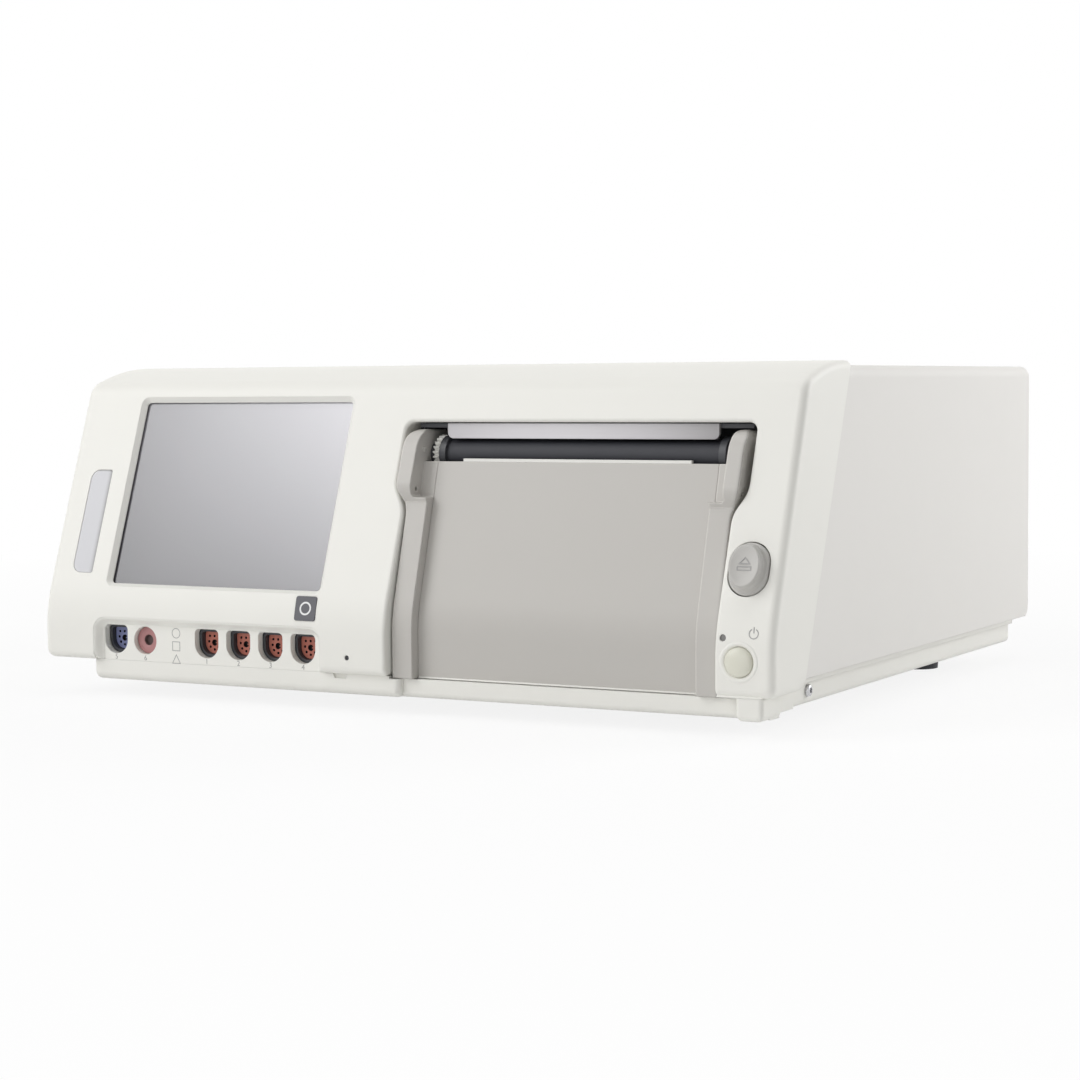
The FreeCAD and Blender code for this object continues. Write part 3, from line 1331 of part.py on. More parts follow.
def make_platen():
    """Rubber platen on a steel shaft, turned by a gear at its left end."""
    centre = ("platen_y", "platen_height")
    low, high = "drawer_x - platen_half", "drawer_x + platen_half"
    rubber = pierced("platen_rubber", rod("rubber_solid", "x", centre, "platen_diameter", low, high),
                     rod("rubber_bore", "x", centre, "shaft_diameter", f"{low} - overcut", f"{high} + overcut"))
    node(rubber, "platen_rubber")
    ends = []
    for name, start in (("left", f"{low} - collar_length"), ("right", high)):
        ends.append(pierced(
            f"collar_{name}", rod(f"collar_{name}_solid", "x", centre, "collar_diameter", start,
                                  f"{start} + collar_length"),
            rod(f"collar_{name}_bore", "x", centre, "shaft_diameter", f"{start} - overcut", f"{start} + collar_length + overcut")))
    node(group("platen_collars", ends), "platen_collars")
    shaft_half = f"{EAR_HALF} - gap * 2"
    shaft = rod("platen_shaft", "x", centre, "shaft_diameter", f"drawer_x - ({shaft_half})",
                f"drawer_x + ({shaft_half})")
    node(shaft, "platen_shaft")
    for name, sign in (("platen_bush_left", -1), ("platen_bush_right", 1)):
        near, far = f"drawer_x + {sign} * ({EAR_INNER} - bush_flange_long)", f"drawer_x + {sign} * {EAR_INNER}"
        outer = f"drawer_x + {sign} * ({EAR_HALF} - gap)"
        sleeve_limits = (outer, far) if sign < 0 else (far, outer)
        flange_limits = (far, near) if sign < 0 else (near, far)
        whole = (outer, near) if sign < 0 else (near, outer)
        sleeve = rod(f"{name}_sleeve", "x", centre, "bush_diameter", *sleeve_limits)
        flange = rod(f"{name}_flange", "x", centre, "bush_flange", *flange_limits)
        bore = rod(f"{name}_bore", "x", centre, "shaft_diameter + running_gap * 2", f"{whole[0]} - overcut",
                   f"{whole[1]} + overcut")
        node(pierced(name, joined(f"{name}_solid", [sleeve, flange]), bore), name)
    gear_x = f"drawer_x - {GEAR_INNER} - gear_wide"
    gear = doc.addObject("Part::Feature", "platen_gear")
    half_pitch = math.pi / number("gear_teeth")
    gear.Shape = gear_solid("gear_teeth", number("shaft_diameter"), half_pitch,
                            Vec(number(gear_x), number("platen_y"), number("platen_height")))
    node(gear, "platen_gear")


def make_recorder():
    """Fixed part of the recorder: frame, print head, tear bar, motor and pinion."""
    body = new_body("recorder_frame")
    outer = "(cheek_half + cheek_thick)"
    plate = corners(f"drawer_x - {outer}", f"drawer_x + {outer}", "tray_top + runner_tall", "frame_top")
    shape_polygon(body, "XZ", plate, "frame_back", "frame_back + cheek_thick")
    inner, back = "(opening_top_half - opening_corner)", "frame_back + cheek_thick"
    for half, front in ((inner, f"{BAR_FRONT} + bar_thick"), (outer, f"{EAR_REAR} + gap * 3")):
        roof = corners(f"drawer_x - {half}", f"drawer_x + {half}", front, back)
        shape_polygon(body, "XY", roof, "frame_top - cheek_thick", "frame_top")
    for sign in (-1, 1):
        near, far = f"drawer_x + {sign} * cheek_half", f"drawer_x + {sign} * {outer}"
        limits = (far, near) if sign < 0 else (near, far)
        cheek = [
            ("cheek_rear", FLOOR),
            ("cheek_rear", "tray_top"),
            ("frame_back + cheek_thick", "frame_top"),
            (f"{EAR_REAR} + gap * 3", "frame_top"),
            (f"{EAR_REAR} + gap * 3", FLOOR),
        ]
        shape_polygon(body, "YZ", cheek, *limits)
    mesh = (MESH_Y, "platen_height")
    shape_circle(body, "YZ", mesh, "axle_diameter + gap * 2", f"drawer_x - {outer} - overcut", "drawer_x - cheek_half + overcut",
                 cutting=True)
    head_front = "platen_y + platen_diameter / 2 + gap"
    head = block("print_head", ("drawer_x - head_half", "drawer_x + head_half"), (head_front, "frame_back"),
                 ("platen_height - head_tall / 2", "platen_height + head_tall / 2"))
    node(head, "print_head")
    bar = new_body("tear_bar")
    outline = corners("drawer_x - bar_half", "drawer_x + bar_half", "bar_bottom", "frame_top")
    shape_polygon(bar, "XZ", outline, BAR_FRONT, f"{BAR_FRONT} + bar_thick", {"bar_corner": [0, 1]})
    case_end = f"drawer_x - {outer}"
    motor = rod("motor_can", "x", mesh, "motor_diameter", f"{case_end} - motor_length", case_end)
    bore = rod("motor_bore", "x", mesh, "axle_diameter + gap", f"{case_end} - motor_length / 2", f"{case_end} + overcut")
    node(pierced("paper_motor_case", motor, bore), "paper_motor")
    pinion_x = number(f"drawer_x - {GEAR_INNER} - gear_wide")
    pinion = doc.addObject("Part::Feature", "motor_pinion")
    spot = Vec(pinion_x, number(MESH_Y), number("platen_height"))
    shape = gear_solid("pinion_teeth", 0, math.pi, spot)
    shaft_low = number(f"{case_end} - motor_length / 2 + gap * 4")
    axle = Part.makeCylinder(number("axle_diameter") / 2, pinion_x - shaft_low, Vec(shaft_low, spot.y, spot.z), X_AXIS)
    pinion.Shape = shape.fuse(axle).removeSplitter()
    node(pinion, "motor_pinion")


# Inside and rear fittings
def make_inside():
    """Boards, supply, pump and loudspeaker."""
    left, right = "(-base_half_width + board_margin)", "(-recess_right)"
    front, rear = "board_front", f"({REAR_PANEL} - board_rear)"
    board = block("main_board", (left, right), (front, rear), ("board_level", "board_level + board_thick"))
    posts = []
    for index, (x, y) in enumerate((
        (f"{left} + post_inset", f"{front} + post_inset"), (f"{right} - post_inset", f"{front} + post_inset"),
        (f"{left} + post_inset", f"{rear} - post_inset"), (f"{right} - post_inset", f"{rear} - post_inset"),
    )):
        posts.append(rod(f"board_post_{index}", "z", (x, y), "post_diameter", FLOOR, "board_level"))
    node(board, "main_board")
    node(group("board_posts", posts), "board_posts")
    supply = block("power_supply", ("inlet_x - supply_wide / 2", "inlet_x + supply_wide / 2"),
                   (f"{REAR_PANEL} - inlet_deep - supply_deep - supply_gap", f"{REAR_PANEL} - inlet_deep - supply_gap"),
                   (FLOOR, f"{FLOOR} + supply_tall"))
    node(supply, "power_supply")
    pump = joined("pump_solid", [
        rod("pump_motor", "x", ("pump_y", f"{FLOOR} + pump_diameter / 2"), "pump_diameter",
            "cuff_x - pump_length / 2", "cuff_x + pump_length / 2"),
        block("pump_head", ("cuff_x + pump_length / 4", "cuff_x + pump_length / 2 + pump_head"),
              ("pump_y - pump_diameter / 2", "pump_y + pump_diameter / 2"),
              (FLOOR, f"{FLOOR} + pump_diameter + pump_head / 2")),
    ])
    node(pump, "cuff_pump")
    centre = ("speaker_x", "speaker_height")
    basket = doc.addObject("Part::Cone", "speaker_basket")
    bind(basket, "Radius1", "speaker_diameter / 2 - speaker_rim")
    bind(basket, "Radius2", "speaker_diameter / 4")
    bind(basket, "Height", "speaker_diameter / 4")
    basket.Placement = FreeCAD.Placement(Vec(0, 0, 0), FreeCAD.Rotation(X_AXIS, 90))
    bind(basket, "Placement.Base.x", centre[0])
    bind(basket, "Placement.Base.y", f"{REAR_PANEL} - speaker_rim / 2")
    bind(basket, "Placement.Base.z", centre[1])
    speaker = joined("speaker_solid", [
        rod("speaker_rim", "y", centre, "speaker_diameter", f"{REAR_PANEL} - speaker_rim", REAR_PANEL),
        basket,
        rod("speaker_magnet", "y", centre, "speaker_diameter / 2", f"{REAR_PANEL} - speaker_diameter / 4 - speaker_magnet",
            f"{REAR_PANEL} - speaker_diameter / 4"),
    ])
    node(speaker, "loudspeaker")


def make_rear_fittings():
    """Mains inlet, earth post, blank interface plates and the screws."""
    inlet = new_body("mains_inlet")
    back = f"{REAR_PANEL} + base_wall"
    flange = rectangle("inlet_x", "inlet_flange", "inlet_height", "inlet_flange_tall")
    shape_polygon(inlet, "XZ", flange, back, f"{back} + inlet_flange_thick", {"screen_corner": [0, 1, 2, 3]})
    case = rectangle("inlet_x", "inlet_wide - gap * 2", "inlet_height", "inlet_tall - gap * 2")
    shape_polygon(inlet, "XZ", case, f"{back} - inlet_deep", f"{back} + overcut", {"screen_corner": [0, 1]})
    hollow = rectangle("inlet_x", "inlet_wide - inlet_wall * 2", "inlet_height", "inlet_tall - inlet_wall * 2")
    shape_polygon(inlet, "XZ", hollow, f"{back} - inlet_deep + inlet_wall * 4", f"{back} + inlet_flange_thick + overcut",
                  {"inlet_wall * 2": [2, 3]}, cutting=True)
    for step in (-1, 0, 1):
        pin = rectangle(f"inlet_x + {step} * inlet_wide / 4", "inlet_wall", f"inlet_height - {abs(step)} * inlet_wall",
                        "inlet_wall * 2")
        shape_polygon(inlet, "XZ", pin, f"{back} - inlet_deep + inlet_wall * 3", f"{back} - inlet_wall")
    post = ("post_x", "post_height")
    solid = joined("post_solid", [
        rod("post_pin", "y", post, "post_diameter", f"{REAR_PANEL} - post_root", f"{REAR} + post_reach"),
        rod("post_collar_disc", "y", post, "post_collar", back, f"{back} + post_collar_thick"),
    ])
    node(solid, "earth_post")
    plates = []
    for index in range(2):
        height = f"slot_height + slot_pitch * {index}"
        plates.append(block(
            f"slot_plate_{index}",
            ("slot_x - slot_wide / 2 - slot_border", "slot_x + slot_wide / 2 + slot_border"),
            (back, f"{back} + slot_plate"),
            (f"{height} - slot_tall / 2 - slot_border + slot_gap", f"{height} + slot_tall / 2 + slot_border - slot_gap")))
    node(group("slot_plates", plates), "slot_plates")
    heads = []
    for index, (x, z) in enumerate((
        (f"-{COVER_HALF} + screw_inset", f"{COVER_TOP} - screw_inset"),
        (f"{COVER_HALF} - screw_inset", f"{COVER_TOP} - screw_inset"),
        (f"-{COVER_HALF} + screw_inset", "base_rim + screw_inset / 2"),
        (f"{COVER_HALF} - screw_inset", "base_rim + screw_inset / 2"),
    )):
        heads.append(rod(f"rear_screw_{index}", "y", (x, z), "screw_diameter", back, f"{back} + screw_head"))
    node(group("rear_screws", heads), "rear_screws")
    sides = []
    place = ("side_screw_y", "side_screw_height")
    for index, limits in enumerate((("-base_half_width - screw_head", "-base_half_width"),
                                    ("base_half_width", "base_half_width + screw_head"))):
        sides.append(rod(f"side_screw_{index}", "x", place, "screw_diameter", *limits))
    node(group("side_screws", sides), "side_screws")


def main():
    """Build every sub-part, check it and write it."""
    make_front_bezel()
    make_cover()
    make_base()
    make_rear_panel()
    make_feet()
    make_display()
    make_plates()
    make_sockets()
    make_eject_button()
    make_power_button()
    make_lamps()
    make_drawer_front()
    make_paper_slab()
    make_tray()
    make_rails()
    make_platen()
    make_recorder()
    make_inside()
    make_rear_fittings()
    doc.recompute()
    for thing in doc.Objects:
        if "Invalid" in thing.State or "Error" in thing.State:
            raise RuntimeError(f"{thing.Label} failed: {thing.State}")
    for piece in pieces:
        if piece.Shape.isNull() or not piece.Shape.isValid() or not piece.Shape.Solids:
            raise RuntimeError(f"{piece.Label} has no valid solid")
    os.makedirs("parts", exist_ok=True)
    for piece in pieces:
        piece.Shape.exportStep(f"parts/{piece.Label}.step")
        print(f"{piece.Label}: {len(piece.Shape.Solids)} solid, {piece.Shape.Volume:.0f} mm3")


main()
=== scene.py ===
"""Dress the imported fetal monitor: finishes, printed signs, small fittings, studio and camera."""

import logging
import math
from abc import ABC, abstractmethod
from dataclasses import dataclass
from enum import Enum
from functools import cache
from typing import Any, Callable, ClassVar, Mapping, Optional, Sequence, Union

import bmesh
import bpy
from mathutils import Matrix, Vector


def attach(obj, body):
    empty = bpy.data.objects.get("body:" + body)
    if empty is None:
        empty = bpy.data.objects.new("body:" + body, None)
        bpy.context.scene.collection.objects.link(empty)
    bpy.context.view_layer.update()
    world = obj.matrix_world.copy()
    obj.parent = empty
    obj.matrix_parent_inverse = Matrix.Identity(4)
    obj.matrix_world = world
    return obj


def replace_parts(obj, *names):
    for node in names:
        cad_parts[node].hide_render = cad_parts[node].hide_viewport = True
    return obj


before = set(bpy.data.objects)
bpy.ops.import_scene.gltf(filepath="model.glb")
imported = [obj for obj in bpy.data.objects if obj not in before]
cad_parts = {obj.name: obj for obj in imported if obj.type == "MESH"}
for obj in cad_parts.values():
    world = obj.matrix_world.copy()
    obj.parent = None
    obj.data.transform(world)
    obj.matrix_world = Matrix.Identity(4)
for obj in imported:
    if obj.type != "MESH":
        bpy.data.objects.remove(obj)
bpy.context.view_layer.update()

LOG = logging.getLogger("fetal_monitor")
MM = 0.001
Colour = tuple[float, float, float, float]
Point = tuple[float, float]
Triple = tuple[float, float, float]
Points = tuple[Point, ...]
Loop = Sequence[Sequence[float]]


def paint(*levels: int) -> Colour:
    """Turn display values into a scene-linear colour.

    Args:
        levels: Display red, green and blue, 0 to 255.

    Returns:
        The linear colour with full alpha.
    """
    shares = [level / 255 for level in levels]
    straight = [share / 12.92 if share <= 0.04045 else ((share + 0.055) / 1.055) ** 2.4 for share in shares]
    return (*straight, 1.0)


def tinted(colour: Colour, factor: float) -> Colour:
    """The colour made lighter or darker by a factor."""
    return tuple(min(1.0, level * factor) for level in colour[:3]) + (1.0,)


# Shader maths
def operator(operation: str, swapped: bool = False) -> Callable[["Value", Any], "Value"]:
    """Make an arithmetic method of Value.

    Args:
        operation: Blender's name of the operation.
        swapped: Whether the other operand comes first.

    Returns:
        The method.
    """
    def apply(value: "Value", other: Any) -> "Value":
        """Wire a Math node for the two operands."""
        first, second = (other, value) if swapped else (value, other)
        return value.wiring.node("ShaderNodeMath", {"operation": operation}, {0: first, 1: second})

    return apply


class Value:
    """A shader socket that takes part in Python arithmetic."""

    def __init__(self, wiring: "Wiring", socket: bpy.types.NodeSocket) -> None:
        """Keep the socket and the node tree that it belongs to."""
        self.wiring = wiring
        self.socket = socket

    __add__ = operator("ADD")
    __radd__ = operator("ADD", True)
    __sub__ = operator("SUBTRACT")
    __rsub__ = operator("SUBTRACT", True)
    __mul__ = operator("MULTIPLY")
    __truediv__ = operator("DIVIDE")
    below = operator("LESS_THAN")
    larger = operator("MAXIMUM")

    def clamped(self) -> "Value":
        """This value held between zero and one."""
        return self.wiring.node("ShaderNodeClamp", {}, {"Value": self, "Min": 0.0, "Max": 1.0})


Feed = Union[Value, float, int, Sequence[float]]


class Wiring:
    """A node tree while it is wired."""

    def __init__(self, tree: bpy.types.NodeTree) -> None:
        """Keep the tree."""
        self.tree = tree

    def node(
        self,
        kind: str,
        settings: Optional[Mapping[str, Any]] = None,
        inputs: Optional[Mapping[Union[str, int], Feed]] = None,
        output: Union[str, int] = 0,
    ) -> Value:
        """Add one node of any kind.

        Args:
            kind: Blender's node type.
            settings: Properties.
            inputs: Values or links by socket name or number.
            output: The socket that is handed back.

        Returns:
            The chosen output.
        """
        made = self.tree.nodes.new(kind)
        for key, setting in (settings or {}).items():
            setattr(made, key, setting)
        for key, feed in (inputs or {}).items():
            self.feed(made.inputs[key], feed)
        return Value(self, made.outputs[output])

    def feed(self, socket: bpy.types.NodeSocket, feed: Feed) -> None:
        """Link a value to a socket, or set a constant on it.

        Args:
            socket: The input.
            feed: The value or the constant.
        """
        if isinstance(feed, Value):
            self.tree.links.new(feed.socket, socket)
        else:
            socket.default_value = feed

    def seen(self) -> Value:
        """Tell where a ray comes from the camera, a mirror or glass.

        Returns:
            One there, and zero elsewhere.
        """
        path = self.node("ShaderNodeLightPath").socket.node
        names = ("Is Camera Ray", "Is Glossy Ray", "Is Transmission Ray")
        camera, mirror, glass = (Value(self, path.outputs[name]) for name in names)
        return camera.larger(mirror).larger(glass)


class Shade(Wiring):
    """One material while its nodes are wired."""

    def __init__(self, name: str) -> None:
        """Start a material with a bare principled shader.

        Args:
            name: Name of the material.
        """
        self.material = bpy.data.materials.new(name)
        self.material.use_nodes = True
        super().__init__(self.material.node_tree)
        self.surface = self.tree.nodes["Principled BSDF"]

    def put(self, **feeds: Feed) -> None:
        """Feed the principled shader's sockets, with spaces written as underscores."""
        for key, feed in feeds.items():
            self.feed(self.surface.inputs[key.replace("_", " ")], feed)

    def place(self) -> Value:
        """The place on the object, in metres."""
        return self.node("ShaderNodeTexCoord", output="Object")

    def axes(self) -> tuple[Value, Value, Value]:
        """The place on the object as three numbers."""
        apart = self.node("ShaderNodeSeparateXYZ", inputs={0: self.place()}).socket.node
        return tuple(Value(self, socket) for socket in apart.outputs)

    def noise(self, size_mm: float, detail: float = 2.0, stretch: Optional[Triple] = None) -> Value:
        """Soft noise.

        Args:
            size_mm: Size of a patch.
            detail: Octaves.
            stretch: Scale of the coordinates along each axis, if they are scaled.

        Returns:
            The noise, about 0.5 on average.
        """
        where = self.place()
        if stretch is not None:
            where = self.node("ShaderNodeMapping", inputs={"Vector": where, "Scale": stretch})
        inputs = {"Vector": where, "Scale": 1 / (size_mm * MM), "Detail": detail}
        return self.node("ShaderNodeTexNoise", inputs=inputs)

    def mix(self, factor: Feed, first: Feed, second: Feed) -> Value:
        """Blend two colours."""
        return self.node("ShaderNodeMix", {"data_type": "RGBA"}, {0: factor, 6: first, 7: second}, 2)

    def varied(self, factor: Value, colour: Colour, dark: float, light: float) -> Value:
        """A colour that varies between two of its tints."""
        return self.mix(factor, tinted(colour, dark), tinted(colour, light))

    def bump(self, height: Value, depth_mm: float, under: Optional[Value] = None) -> Value:
        """Turn a height into a normal.

        Args:
            height: Height, zero to one.
            depth_mm: Height of one.
            under: A normal to add it to.

        Returns:
            The normal.
        """
        inputs = {"Strength": 1.0, "Distance": depth_mm * MM, "Height": height}
        if under is not None:
            inputs["Normal"] = under
        return self.node("ShaderNodeBump", inputs=inputs)

    def soft_edge(self, radius_mm: float) -> Value:
        """A normal that rounds the edges of moulded pieces."""
        return self.node("ShaderNodeBevel", {"samples": 4}, {"Radius": radius_mm * MM})

    def turned(self, normal: Value, toward: Triple, gain: float) -> Value:
        """How far a rounded normal turns toward a direction, as at an edge.

        Args:
            normal: The rounded normal.
            toward: The direction.
            gain: What the turn is multiplied by.

        Returns:
            Zero on flats, up to one at edges that face that way.
        """
        flat = self.node("ShaderNodeNewGeometry", output="Normal")
        turn = self.node("ShaderNodeVectorMath", {"operation": "SUBTRACT"}, {0: normal, 1: flat})
        along = self.node("ShaderNodeVectorMath", {"operation": "DOT_PRODUCT"}, {0: turn, 1: toward}, "Value")
        return (along * gain).clamped()


# Finishes
@dataclass(frozen=True)
class Finish(ABC):
    """A way to finish a surface."""

    name: str
    colour: Colour

    @abstractmethod
    def wire(self, shade: Shade) -> None:
        """Wire the nodes.

        Args:
            shade: The finish's new material.
        """

    @cache
    def material(self) -> bpy.types.Material:
        """Make the finish's material, once.

        Returns:
            The material.
        """
        shade = Shade(self.name)
        self.wire(shade)
        return shade.material


@dataclass(frozen=True)
class MouldedPlastic(Finish):
    """Moulded plastic with a spark-eroded grain, a little unevenness and a painted highlight on upper left
    edges.
    """

    roughness: float = 0.48
    grain_mm: float = 0.5
    grain_depth_mm: float = 0.012
    mottle: float = 0.018
    edge_mm: float = 0.4
    edge_light: float = 0.0
    cloud_mm: ClassVar[float] = 38
    lit_side: ClassVar[Triple] = (-0.75, 0.0, 0.66)
    lit_tint: ClassVar[float] = 1.5
    grain_share: ClassVar[float] = 0.2
    cloud_swing: ClassVar[float] = 0.10
    grain_swing: ClassVar[float] = 0.12

    def wire(self, shade: Shade) -> None:
        """Wire the nodes.

        Args:
            shade: The finish's new material.
        """
        rounded = shade.soft_edge(self.edge_mm)
        cloud = shade.noise(self.cloud_mm, detail=3)
        grain = shade.noise(self.grain_mm)
        patches = (cloud * (1 - self.grain_share) + grain * self.grain_share).clamped()
        plain = shade.varied(patches, self.colour, 1 - self.mottle, 1 + self.mottle)
        # Painted highlight: edges whose rounded normal turns toward the upper left are blended toward a
        # lighter tint.
        light = shade.turned(rounded, self.lit_side, self.edge_light)
        lined = shade.mix(light, plain, tinted(self.colour, self.lit_tint))
        shade.put(
            Base_Color=self.flanked(shade, lined),
            Roughness=self.roughness + (cloud - 0.5) * self.cloud_swing + (grain - 0.5) * self.grain_swing,
            Normal=shade.bump(grain, self.grain_depth_mm, rounded),
        )

    def flanked(self, shade: Shade, lined: Value) -> Value:
        """The colour with any painted shade on a flank; plain mouldings have none."""
        return lined


@dataclass(frozen=True, kw_only=True)
class ArmPlastic(MouldedPlastic):
    """Moulded plastic of the drawer's arms, with painted shade on the right arm's outer flank."""

    centre_mm: float
    flank_mm: float = 2.8
    flank_gain: float = 1.1
    flank_tint: float = 0.45

    def flanked(self, shade: Shade, lined: Value) -> Value:
        """Paint shade on the right arm's outer flank.

        Args:
            shade: The finish's new material.
            lined: The colour with its painted edge highlight.

        Returns:
            The colour with the painted flank shade.
        """
        across, _, _ = shade.axes()
        right = 1 - across.below(self.centre_mm * MM)
        # Painted shade: the right arm's outer flank is darkened where its rounded normal turns toward +X.
        dark = shade.turned(shade.soft_edge(self.flank_mm), (1.0, 0.0, 0.0), self.flank_gain) * right
        return shade.mix(dark, lined, tinted(self.colour, self.flank_tint))


class Grain(Enum):
    """Which way the fine lines of a surface run, as a coordinate scale."""

    ALONG_X = (0.03, 1.0, 1.0)
    ALONG_Z = (1.0, 1.0, 0.03)
    GROUND = (6.0, 1.0, 1.0)
    NONE = (1.0, 1.0, 1.0)


@dataclass(frozen=True)
class Brushed(Finish):
    """A surface with fine lines: brushed metal, or ground rubber."""

    roughness: float = 0.36
    metallic: float = 1.0
    grain: Grain = Grain.ALONG_X
    line_mm: float = 0.25
    swing: float = 0.16
    depth_mm: float = 0.006
    edge_mm: float = 0.25
    cloud_mm: float = 20
    cloud_share: float = 0.4
    tints: Point = (0.93, 1.06)

    def wire(self, shade: Shade) -> None:
        """Wire the nodes.

        Args:
            shade: The finish's new material.
        """
        lines = shade.noise(self.line_mm, 3, self.grain.value)
        shade.put(
            Base_Color=self.toned(shade, lines),
            Metallic=self.metallic,
            Roughness=self.roughness + (lines - 0.5) * self.swing,
            Normal=shade.bump(lines, self.depth_mm, shade.soft_edge(self.edge_mm)),
        )

    def toned(self, shade: Shade, lines: Value) -> Value:
        """The surface's colour over its lines."""
        patches = lines * (1 - self.cloud_share) + shade.noise(self.cloud_mm) * self.cloud_share
        return shade.varied(patches.clamped(), self.colour, *self.tints)


@dataclass(frozen=True, kw_only=True)
class PlateFoil(Brushed):
    """Satin foil set in a shallow recess, darker along the edges that the recess shades."""

    shaded: Colour
    right_mm: float
    top_mm: float
    reach_mm: float = 3.2
    top_share: float = 0.4
    side_share: float = 0.8
    line_swing: float = 0.12

    def toned(self, shade: Shade, lines: Value) -> Value:
        """Paint the recess's shadow beside the foil's right and upper edges.

        Args:
            shade: The finish's new material.
            lines: The fine lines.

        Returns:
            The foil's colour.
        """
        # Painted shadow of the recess wall along the foil's right and upper edges.
        across, _, up = shade.axes()
        beside = (1 - (self.right_mm * MM - across) / (self.reach_mm * MM)).clamped()
        under = (1 - (self.top_mm * MM - up) / (self.reach_mm * self.top_share * MM)).clamped()
        painted_shade = (beside * beside * self.side_share + under * under + (lines - 0.5) * self.line_swing).clamped()
        return shade.mix(painted_shade, self.colour, self.shaded)


@dataclass(frozen=True, kw_only=True)
class TearEdge(Brushed):
    """Satin steel of the tear bar, with painted shade toward the ends of the slot that it bridges."""

    shaded: Colour
    centre_mm: float
    reach_mm: float
    line_swing: float = 0.14

    def toned(self, shade: Shade, lines: Value) -> Value:
        """Paint shade on the bar toward its ends.

        Args:
            shade: The finish's new material.
            lines: The fine lines.

        Returns:
            The bar's colour.
        """
        # Painted shade: the bar darkens toward its ends.
        across, _, _ = shade.axes()
        aside = (across - self.centre_mm * MM) / (self.reach_mm * MM)
        painted_shade = (aside * aside + (lines - 0.5) * self.line_swing).clamped()
        return shade.mix(painted_shade, self.colour, self.shaded)


@dataclass(frozen=True)
class ScreenGlass(Finish):
    """Dark display behind smooth glass, with a painted reflection that is lighter toward the upper right."""

    high: Colour
    centre_mm: Point
    reach_mm: Point
    middle: float = 0.39
    rightward: float = 0.24
    upward: float = 0.26
    corner: float = 0.11
    cloud_mm: float = 90
    cloud_swing: float = 0.06
    dot_mm: float = 0.22
    roughness: float = 0.16
    swing: float = 0.06
    coat: float = 0.15
    coat_roughness: float = 0.04

    def wire(self, shade: Shade) -> None:
        """Wire the nodes.

        Args:
            shade: The finish's new material.
        """
        # Painted reflection: a pale gradient, lighter toward the upper right, mixed into the glass's dark
        # colour.
        across, _, up = shade.axes()
        aside = (across - self.centre_mm[0] * MM) / (self.reach_mm[0] * MM)
        above = (up - self.centre_mm[1] * MM) / (self.reach_mm[1] * MM)
        slope = aside * self.rightward + above * self.upward + aside * above * self.corner
        painted_reflection = (self.middle + slope + (shade.noise(self.cloud_mm, 1) - 0.5) * self.cloud_swing).clamped()
        dots = shade.noise(self.dot_mm, 0)
        shade.put(
            Base_Color=shade.mix(painted_reflection, self.colour, self.high),
            Roughness=self.roughness + (dots - 0.5) * self.swing,
            Coat_Weight=self.coat,
            Coat_Roughness=self.coat_roughness,
        )


@dataclass(frozen=True)
class CircuitBoard(Finish):
    """Green board with copper runs under the resist."""

    copper: Colour
    cells_per_m: float = 90.0
    gap: float = 0.02
    stagger: float = 0.35
    squash: float = 0.7
    copper_share: float = 0.5
    roughness: float = 0.34
    swing: float = 0.1
    depth_mm: float = 0.03

    def wire(self, shade: Shade) -> None:
        """Wire the nodes.

        Args:
            shade: The finish's new material.
        """
        inputs = {"Vector": shade.place(), "Scale": self.cells_per_m, "Mortar Size": self.gap}
        tones = {"Color1": (0, 0, 0, 1), "Color2": (1, 1, 1, 1)}
        settings = {"offset": self.stagger, "squash": self.squash}
        cells = shade.node("ShaderNodeTexBrick", settings, {**inputs, **tones}, "Fac")
        shade.put(
            Base_Color=shade.mix(cells * self.copper_share, self.colour, self.copper),
            Roughness=self.roughness + cells * self.swing,
            Normal=shade.bump(cells, self.depth_mm),
        )


@dataclass(frozen=True)
class Film(Finish):
    """A thin, slightly uneven layer: printed ink, the lens of a lamp that is off, or painted shade in holes.
    """

    patch_mm: float = 0.4
    tints: Point = (0.94, 1.07)
    roughness: float = 0.5
    swing: float = 0.2
    coat: float = 0.0

    def wire(self, shade: Shade) -> None:
        """Wire the nodes.

        Args:
            shade: The finish's new material.
        """
        cover = shade.noise(self.patch_mm)
        shade.put(
            Base_Color=shade.varied(cover, self.colour, *self.tints),
            Roughness=self.roughness + (cover - 0.5) * self.swing,
            Coat_Weight=self.coat,
        )


@dataclass(frozen=True)
class BoredPlastic(Finish):
    """Plastic with painted shade inside its bore."""

    inside: Colour
    axis_mm: Point
    bore_mm: float
    grain_mm: float = 0.5
    tints: Point = (0.95, 1.05)
    roughness: float = 0.42
    swing: float = 0.12
    depth_mm: float = 0.01
    edge_mm: float = 0.8

    def wire(self, shade: Shade) -> None:
        """Wire the nodes.

        Args:
            shade: The finish's new material.
        """
        across, _, up = shade.axes()
        aside, above = across - self.axis_mm[0] * MM, up - self.axis_mm[1] * MM
        # Painted shade: the inside of the bore takes the darker colour.
        bore_shade_mask = (aside * aside + above * above).below((self.bore_mm / 2 * MM) ** 2)
        grain = shade.noise(self.grain_mm)
        shade.put(
            Base_Color=shade.mix(bore_shade_mask, shade.varied(grain, self.colour, *self.tints), self.inside),
            Roughness=self.roughness + (grain - 0.5) * self.swing,
            Normal=shade.bump(grain, self.depth_mm, shade.soft_edge(self.edge_mm)),
        )


